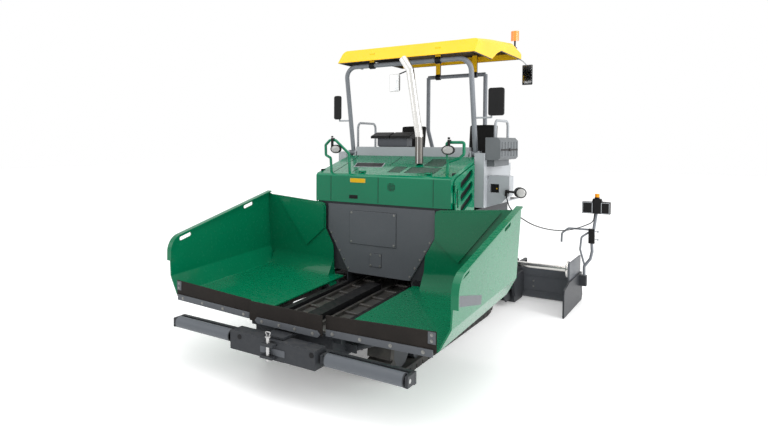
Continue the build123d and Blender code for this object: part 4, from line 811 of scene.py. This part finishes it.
seams = [
    addFaceSeam(-0.668),
    addTopSeam((-0.668, 1.885), (-0.725, 2.66)),
    addFaceSeam(-0.007),
    addFaceSeam(0.684, 0.0028),
    addTopSeam((-0.062, 2.26), (-0.084, 2.66)),
]
for x in hoodDetails["lidEdges"]:
    seams.append(addTopSeam((x, 1.93), (x, 2.246), 0.0025, 0.002))
finishPiece(joinAll(seams, "hoodSeams"), "root", "black")

xs, zs = hoodDetails["frontPlate"]
plate = addBox("frontPlate", xs, (y0 + 1.8435, y0 + 1.8465), zs, 0.001)
finishPiece(plate, "root", "yellowPlate")
inset = 0.01
rivetX, rivetZ = (xs[0] + inset, xs[1] - inset), (zs[0] + inset, zs[1] - inset)
rivetSpots = [spot(x, 1.8435, z) for x in rivetX for z in rivetZ]
rivets = addBolts("frontPlateRivets", rivetSpots, forward, 0.003, 0.0015, 12, 1.2)
finishPiece(rivets, "root", "steel")

xs, zs = hoodDetails["handle"]
recess = addBox("handleRecess", xs, (y0 + 1.8415, y0 + 1.8465), zs, 0.0015)
paddleX, paddleZ = (xs[0] + 0.012, xs[1] - 0.03), (zs[0] + 0.008, zs[1] - 0.008)
paddle = addBox("handlePaddle", paddleX, (y0 + 1.8365, y0 + 1.842), paddleZ, 0.002, 3)
lockX = xs[1] - 0.015
lock = addRod("handleLock", spot(lockX, 1.8385, 1.66), spot(lockX, 1.8425, 1.66), 0.008, 0.001, 20)
finishPiece(joinAll([recess, paddle, lock], "hoodHandle"), "root", "plastic")

xs, zs = hoodDetails["dots"]
dotSpots = []
for row in range(6):
    z = zs[0] + row * (zs[1] - zs[0]) / 5
    count = 4 if row in (0, 5) else 6
    for column in range(count):
        x = (xs[0] + xs[1]) / 2 + (column - (count - 1) / 2) * hoodDetails["dotStep"]
        dotSpots.append(spot(x, hoodDetails["faceY"], z))
dots = addBolts("hoodDotGrille", dotSpots, forward, 0.0055, 0.001, 12, 1.05)
finishPiece(dots, "root", "black")

badge = hoodDetails["badge"]
rim = addSlab("badgeRim", [spot(x, y, hoodTop(y) - 0.001) for x, y in badge], (0, 0, 0.003), 0.0012)
finishPiece(rim, "root", "silver")
centre = (sum(x for x, y in badge) / 4, sum(y for x, y in badge) / 4)
inner = [(centre[0] + (x - centre[0]) * 0.95, centre[1] + (y - centre[1]) * 0.88) for x, y in badge]
field = addSlab("badgeField", [spot(x, y, hoodTop(y) + 0.0015) for x, y in inner], (0, 0, 0.0018), 0.0006)
finishPiece(field, "root", "black")


def addTopStrip(name, xs, ys, sunk, thickness, edge):
    # A flat strip along the hood's sloping top
    corners = ((xs[0], ys[0]), (xs[1], ys[0]), (xs[1], ys[1]), (xs[0], ys[1]))
    return addSlab(name, [spot(x, y, hoodTop(y) - sunk) for x, y in corners], (0, 0, thickness), edge)


def addFins(name, x, first, count, body):
    # Black bars between the slots, and in each slot two silver fins over a black strip sunk below them, painted
    # shade of the dark inside
    pitch = hoodDetails["finPitch"]
    barsAndShade, fins = [], []
    for index in range(count + 1):
        front = first + index * pitch - 0.0165
        barX = (x[0] - 0.012, x[1] + 0.012)
        barsAndShade.append(addTopStrip("bar", barX, (front, front + 0.015), 0.001, 0.0035, 0.001))
    for index in range(count):
        slot = first + index * pitch
        for step in (0.006, 0.018):
            y = slot + step
            ends = [spot(end, y, hoodTop(y) - 0.004) for end in (x[0] - 0.004, x[1] + 0.004)]
            fins.append(addRod("fin", *ends, 0.0022, 0, 8))
        # Painted shade: a black strip sunk under the slot, where the inside would be dark
        shadeX = (x[0] + 0.001, x[1] - 0.001)
        barsAndShade.append(addTopStrip("slotShade", shadeX, (slot - 0.002, slot + 0.026), 0.0135, 0.0025, 0))
    finishPiece(joinAll(barsAndShade, name + "Bars"), body, "black")
    finishPiece(joinAll(fins, name + "Fins"), body, "steel")


for number, x in enumerate(hoodDetails["lidFins"]):
    addFins("lidGrille" + str(number), x, 2.002, 5, "hood_lid")
addFins("rearGrille", hoodDetails["rearFins"], 2.286, 7, "root")
print("hood detailed")

# Louvred doors: a black sheet behind the slots, painted shade of the dark inside, and a green upright handle

doorShade = addBox("doorBackingLeft", (0.866, 0.874), (y0 + 1.93, y0 + 2.57), (1.535, 1.985), 0.002)
doorGrip = joinAll([
    addRod("grip", spot(0.918, 1.993, 1.60), spot(0.918, 1.99, 1.80), 0.009, 0.002, 16),
    addBox("gripFoot", (0.9005, 0.922), (y0 + 1.982, y0 + 2.004), (1.592, 1.612), 0.002),
    addBox("gripHead", (0.9005, 0.922), (y0 + 1.98, y0 + 2.002), (1.79, 1.81), 0.002),
], "doorGripLeft")
bothSides("side_door", (doorShade, "black", "dark_paint"), (doorGrip, "hoodGreen", "green_paint"))

# Lamps: lens, rim and knob

sideLampTurn = radians(26.6)


def addLens(name, centre, radii, turn=0.0):
    deselectAll()
    bpy.ops.mesh.primitive_uv_sphere_add(
        segments=36, ring_count=18, radius=1, location=centre, rotation=(0, 0, turn),
    )
    lens = bpy.context.object
    lens.name = name
    lens.scale = radii
    settle(lens)
    bpy.ops.object.shade_smooth()
    return lens


def addRim(name, centre, radii, thick, turn=0.0):
    deselectAll()
    bpy.ops.mesh.primitive_torus_add(
        major_radius=1, minor_radius=thick / radii[0], major_segments=40, minor_segments=10,
        location=centre, rotation=(pi / 2, 0, turn),
    )
    rim = bpy.context.object
    rim.name = name
    rim.scale = (radii[0], radii[1], radii[0])
    settle(rim)
    bpy.ops.object.shade_smooth()
    return rim


for name, x in (("right", -0.634), ("left", 0.831)):
    lens = addLens(name + "LampLens", spot(x, 1.895, 2.245), (0.064, 0.012, 0.045))
    finishPiece(lens, "root", "lens")
    rim = addRim(name + "LampRim", spot(x, 1.893, 2.245), (0.068, 0.049), 0.006)
    finishPiece(rim, "root", "plastic")
knobs = joinAll([
    addRod("knob", spot(0.831, 1.923, 2.364), spot(0.831, 1.923, 2.388), 0.014, 0.004, 20),
    addRod("knob", spot(-0.700, 1.923, 2.389), spot(-0.700, 1.923, 2.41), 0.014, 0.004, 20),
], "lampKnobs")
finishPiece(knobs, "root", "plastic")
sideLens = addLens("sideLampLens", spot(1.4255, 2.6395, 1.745), (0.052, 0.014, 0.052), sideLampTurn)
finishPiece(sideLens, "root", "lens")
sideRim = addRim("sideLampRim", spot(1.426, 2.638, 1.745), (0.056, 0.056), 0.006, sideLampTurn)
finishPiece(sideRim, "root", "plastic")

# Mirror glass, and the rear mirror under the roof's left edge

glassSpots = {
    "leftMirrorGlass": ((1.054, 1.206), 2.6655, (2.668, 2.962)),
    "rightMirrorGlass": ((-1.096, -1.024), 2.6655, (2.668, 2.962)),
}
for name, (x, y, z) in glassSpots.items():
    glass = addBox(name, x, (y0 + y - 0.002, y0 + y + 0.001), z, 0.001, 3)
    finishPiece(glass, "front_hoop", "mirror")
hungRim = addBox("hungMirrorRim", (-0.162, -0.028), (y0 + 2.439, y0 + 2.446), (2.978, 3.202), 0.003, 3)
finishPiece(hungRim, "front_hoop", "pale")
hungGlass = addBox("hungMirrorGlass", (-0.150, -0.040), (y0 + 2.4375, y0 + 2.4395), (2.992, 3.188), 0.0006)
finishPiece(hungGlass, "front_hoop", "mirror")
armRoute = [spot(0.900, 4.400, 3.545), spot(0.965, 4.415, 3.50), spot(1.022, 4.432, 3.43)]
finishPiece(addPipe("rearMirrorArm", armRoute, 0.008, 0.02), "roof", "silver")
rearHead = addBox("rearMirrorHead", (0.953, 1.093), (y0 + 4.420, y0 + 4.444), (3.16, 3.446), 0.01, 4)
finishPiece(rearHead, "roof", "plastic")
rearGlass = addBox("rearMirrorGlass", (0.966, 1.080), (y0 + 4.4185, y0 + 4.4205), (3.176, 3.43), 0.0006)
finishPiece(rearGlass, "roof", "mirror")
print("lamps and mirrors detailed")

# Hopper: bolts on the flap bars, corner plates, edge strips and cover seals on the back plate

hopperDetails = {
    "barSlope": 0.026 / 1.013,
    "barBolts": (0.52, 0.80, 1.09, 1.38),
    "centreBolts": (-0.26, -0.05, 0.13, 0.33),
    "strip": ((0.700, 1.238), (0.407, 0.726), (0.366, 0.726), (0.650, 1.222)),
    "covers": (((-0.390, 0.232), (1.085, 1.492)), ((-0.112, 0.042), (0.830, 0.990))),
}
barSlope = hopperDetails["barSlope"]
barBoltSpots = [spot(x, -0.0282, 0.609 + (x - 0.449) * barSlope) for x in hopperDetails["barBolts"]]
barBolts = addBolts("flapBarBoltsLeft", barBoltSpots, forward, 0.011)
cornerLeft = addBox("flapCornerLeft", (1.416, 1.482), (y0 - 0.0195, y0 - 0.0135), (0.71, 0.808), 0.0015)
cornerBolts = addBolts("cornerBoltsLeft", [spot(1.449, -0.0195, z) for z in (0.735, 0.783)], forward, 0.009)
bothSides(
    "wing", (barBolts, "boltZinc", "roller_steel"), (cornerLeft, "grey", "grey_paint"),
    (cornerBolts, "boltZinc", "roller_steel"),
)
centreBoltSpots = [spot(x, -0.0622, 0.591) for x in hopperDetails["centreBolts"]]
centreBolts = addBolts("flapBarBoltsCentre", centreBoltSpots, forward, 0.011)
finishPiece(centreBolts, "root", "boltZinc")
stripBolts = []
for side, sideName in ((1, "Left"), (-1, "Right")):
    corners = [spot(side * x, 1.846, z) for x, z in hopperDetails["strip"]]
    strip = addSlab("plateStrip" + sideName, corners, (0, -0.004, 0), 0.001)
    finishPiece(strip, "root", "grey")
    for index in range(5):
        share = 0.08 + index * 0.21
        stripBolts.append(spot(side * (0.388 + share * 0.288), 1.842, 0.732 + share * 0.498))
coverBolts = [spot(x, 1.838, z) for x in (-0.365, 0.207) for z in (1.11, 1.467)]
coverBolts += [spot(x, 1.838, z) for x in (-0.097, 0.027) for z in (0.845, 0.975)]
plateBolts = addBolts("plateBolts", stripBolts + coverBolts, forward, 0.009)
finishPiece(plateBolts, "root", "boltZinc")
seals = [
    addPipe("coverSeal", rectangle(xs, 1.8455, zs), 0.0035, 0.004, 6, 2, True)
    for xs, zs in hopperDetails["covers"]
]
finishPiece(joinAll(seals, "coverSeals"), "root", "black")

# Push beam: plugs, hitch plate, pin; end caps on the rollers

beamDetails = {
    "hitchY": -0.295,
    "grip": ((-0.012, 0.56), (-0.03, 0.60), (0.03, 0.60), (0.012, 0.56)),
    "capX": (0.545, 1.288),
    "capWidth": 0.012,
    "capRadius": 0.0605,
}
plugs = joinAll([
    addRod("plug", spot(x, -0.2585, 0.472), spot(x, -0.264, 0.472), 0.024, 0.002, 32) for x in (-0.372, 0.452)
], "blockPlugs")
finishPiece(plugs, "push_beam", "black")
hitchY = beamDetails["hitchY"]
hitch = joinAll([
    addRod("hitchPin", spot(0, hitchY, 0.336), spot(0, hitchY, 0.552), 0.0185, 0.004, 28),
    addRod("hitchKnob", spot(0, hitchY, 0.55), spot(0, hitchY, 0.562), 0.028, 0.004, 28),
    addPipe("hitchGrip", [spot(x, hitchY, z) for x, z in beamDetails["grip"]], 0.005, 0.015),
], "hitchPin")
finishPiece(hitch, "push_beam", "steel")
hitchEdge = addBox("hitchPlate", (-0.115, 0.165), (y0 - 0.2665, y0 - 0.2585), (0.386, 0.446), 0.002)
finishPiece(hitchEdge, "push_beam", "grey")
for side, sideName in ((1, "Left"), (-1, "Right")):
    caps = []
    for x in beamDetails["capX"]:
        ends = [spot(side * end, -0.165, 0.428) for end in (x, x + beamDetails["capWidth"])]
        caps.append(addRod("cap", *ends, beamDetails["capRadius"], 0.002, 40))
    caps = joinAll(caps, "rollerCaps" + sideName)
    finishPiece(caps, "push_roller_" + sideName.lower(), "darkGrey")
print("hopper and push beam detailed")

# Stripe on the wings' outer sides, laid on the plate by looking where it is

stripeOutline = [(0.03, 1.02), (0.70, 0.90), (0.70, 0.985), (0.03, 1.115)]


def onSide(piece, y, z):
    # The outermost place of a piece at a height and a station
    place = piece.ray_cast(Vector((3, y0 + y, z)), Vector((-1, 0, 0)))[1]
    return (place.x - 0.0005, y0 + y, z)


bpy.context.view_layer.update()
corners = [onSide(dressed["wing_left"], y, z) for y, z in stripeOutline]
stripe = addSlab("sideStripeLeft", corners, (0.0018, 0, 0), 0.0004)
bothSides("wing", (stripe, "grey", "grey_paint"))

# Screed: ledges and bolts on the extensions, flange bolts, control panel frames, knobs

screedDetails = {
    "ledges": (0.10, 0.335),
    "flange": (1.5797, 4.46, 0.565),
    "boltCircle": 0.092,
    "frames": ((1.683, 1.805), (1.922, 2.022)),
    "frameHeights": (1.322, 1.474),
    "knobHeights": (1.050, 0.935),
}
ledges = joinAll([
    addBox("ledge", (0.93, 1.60), (y0 + 4.8235, y0 + 4.831), (z, z + 0.018), 0.002)
    for z in screedDetails["ledges"]
], "extensionLedgeLeft")
ledgeBoltSpots = [spot(x, 4.8295, z) for x in (1.05, 1.52) for z in (0.18, 0.26)]
ledgeBolts = addBolts("extensionBoltsLeft", ledgeBoltSpots, forward, 0.009)
flangeX, flangeY, flangeZ = screedDetails["flange"]
circle = screedDetails["boltCircle"]
turns = [k * pi / 4 for k in range(8)]
flangeSpots = [spot(flangeX, flangeY + circle * cos(turn), flangeZ + circle * sin(turn)) for turn in turns]
flangeBolts = addBolts("flangeBoltsLeft", flangeSpots, (-1, 0, 0), 0.010)
panelFrames = joinAll([
    addPipe("frame", rectangle(xs, 4.9395, screedDetails["frameHeights"]), 0.0045, 0.008, 8, 3, True)
    for xs in screedDetails["frames"]
], "panelFrameLeft")
panelStem = joinAll([
    addBox("stem", (1.826, 1.900), (y0 + 4.9335, y0 + 4.9405), (1.330, 1.516), 0.004, 3),
    addRod("neck", spot(1.862, 4.985, 1.527), spot(1.862, 4.985, 1.550), 0.033, 0.003, 28),
], "panelStemLeft")
knobParts = [
    addRod("stalk", spot(1.832, 5.0, z), spot(1.872, 5.0, z), 0.006, 0.001, 16)
    for z in screedDetails["knobHeights"]
] + [
    addLens("ball", spot(1.878, 5.0, z), (0.014, 0.014, 0.014)) for z in screedDetails["knobHeights"]
]
postKnobs = joinAll(knobParts, "postKnobsLeft")
bothSides(
    "extension", (ledges, "grey", "grey_paint"), (ledgeBolts, "boltZinc", "roller_steel"),
    (panelFrames, "silver", "roller_steel"), (panelStem, "plastic", "black_plastic"),
    (postKnobs, "silver", "roller_steel"),
)
finishPiece(flangeBolts, "extension_left", "boltZinc")

# Platform: grab handle on the side column, dark insert in the side box, strap round the tool box

gripRoute = [spot(0.93, y, z) for y, z in ((2.743, 1.96), (2.722, 1.96), (2.722, 2.09), (2.743, 2.09))]
finishPiece(addPipe("columnGrip", gripRoute, 0.007, 0.012), "root", "plastic")
insert = addBox("sideBoxInsert", (1.046, 1.149), (y0 + 2.7575, y0 + 2.7605), (1.728, 1.829), 0.001)
finishPiece(insert, "root", "plastic")
dot = addRod("sideBoxKnob", spot(1.118, 2.757, 1.775), spot(1.118, 2.745, 1.775), 0.009, 0.002, 20)
finishPiece(dot, "root", "yellowPlate")
strap = joinAll([
    addBox("strap", (1.1885, 1.1925), (y0 + 2.645, y0 + 3.355), (2.232, 2.252), 0.0012),
    addBox("buckle", (1.1905, 1.1975), (y0 + 2.98, y0 + 3.02), (2.224, 2.260), 0.002),
], "toolboxStrap")
finishPiece(strap, "root", "plastic")
print("screed and platform detailed")
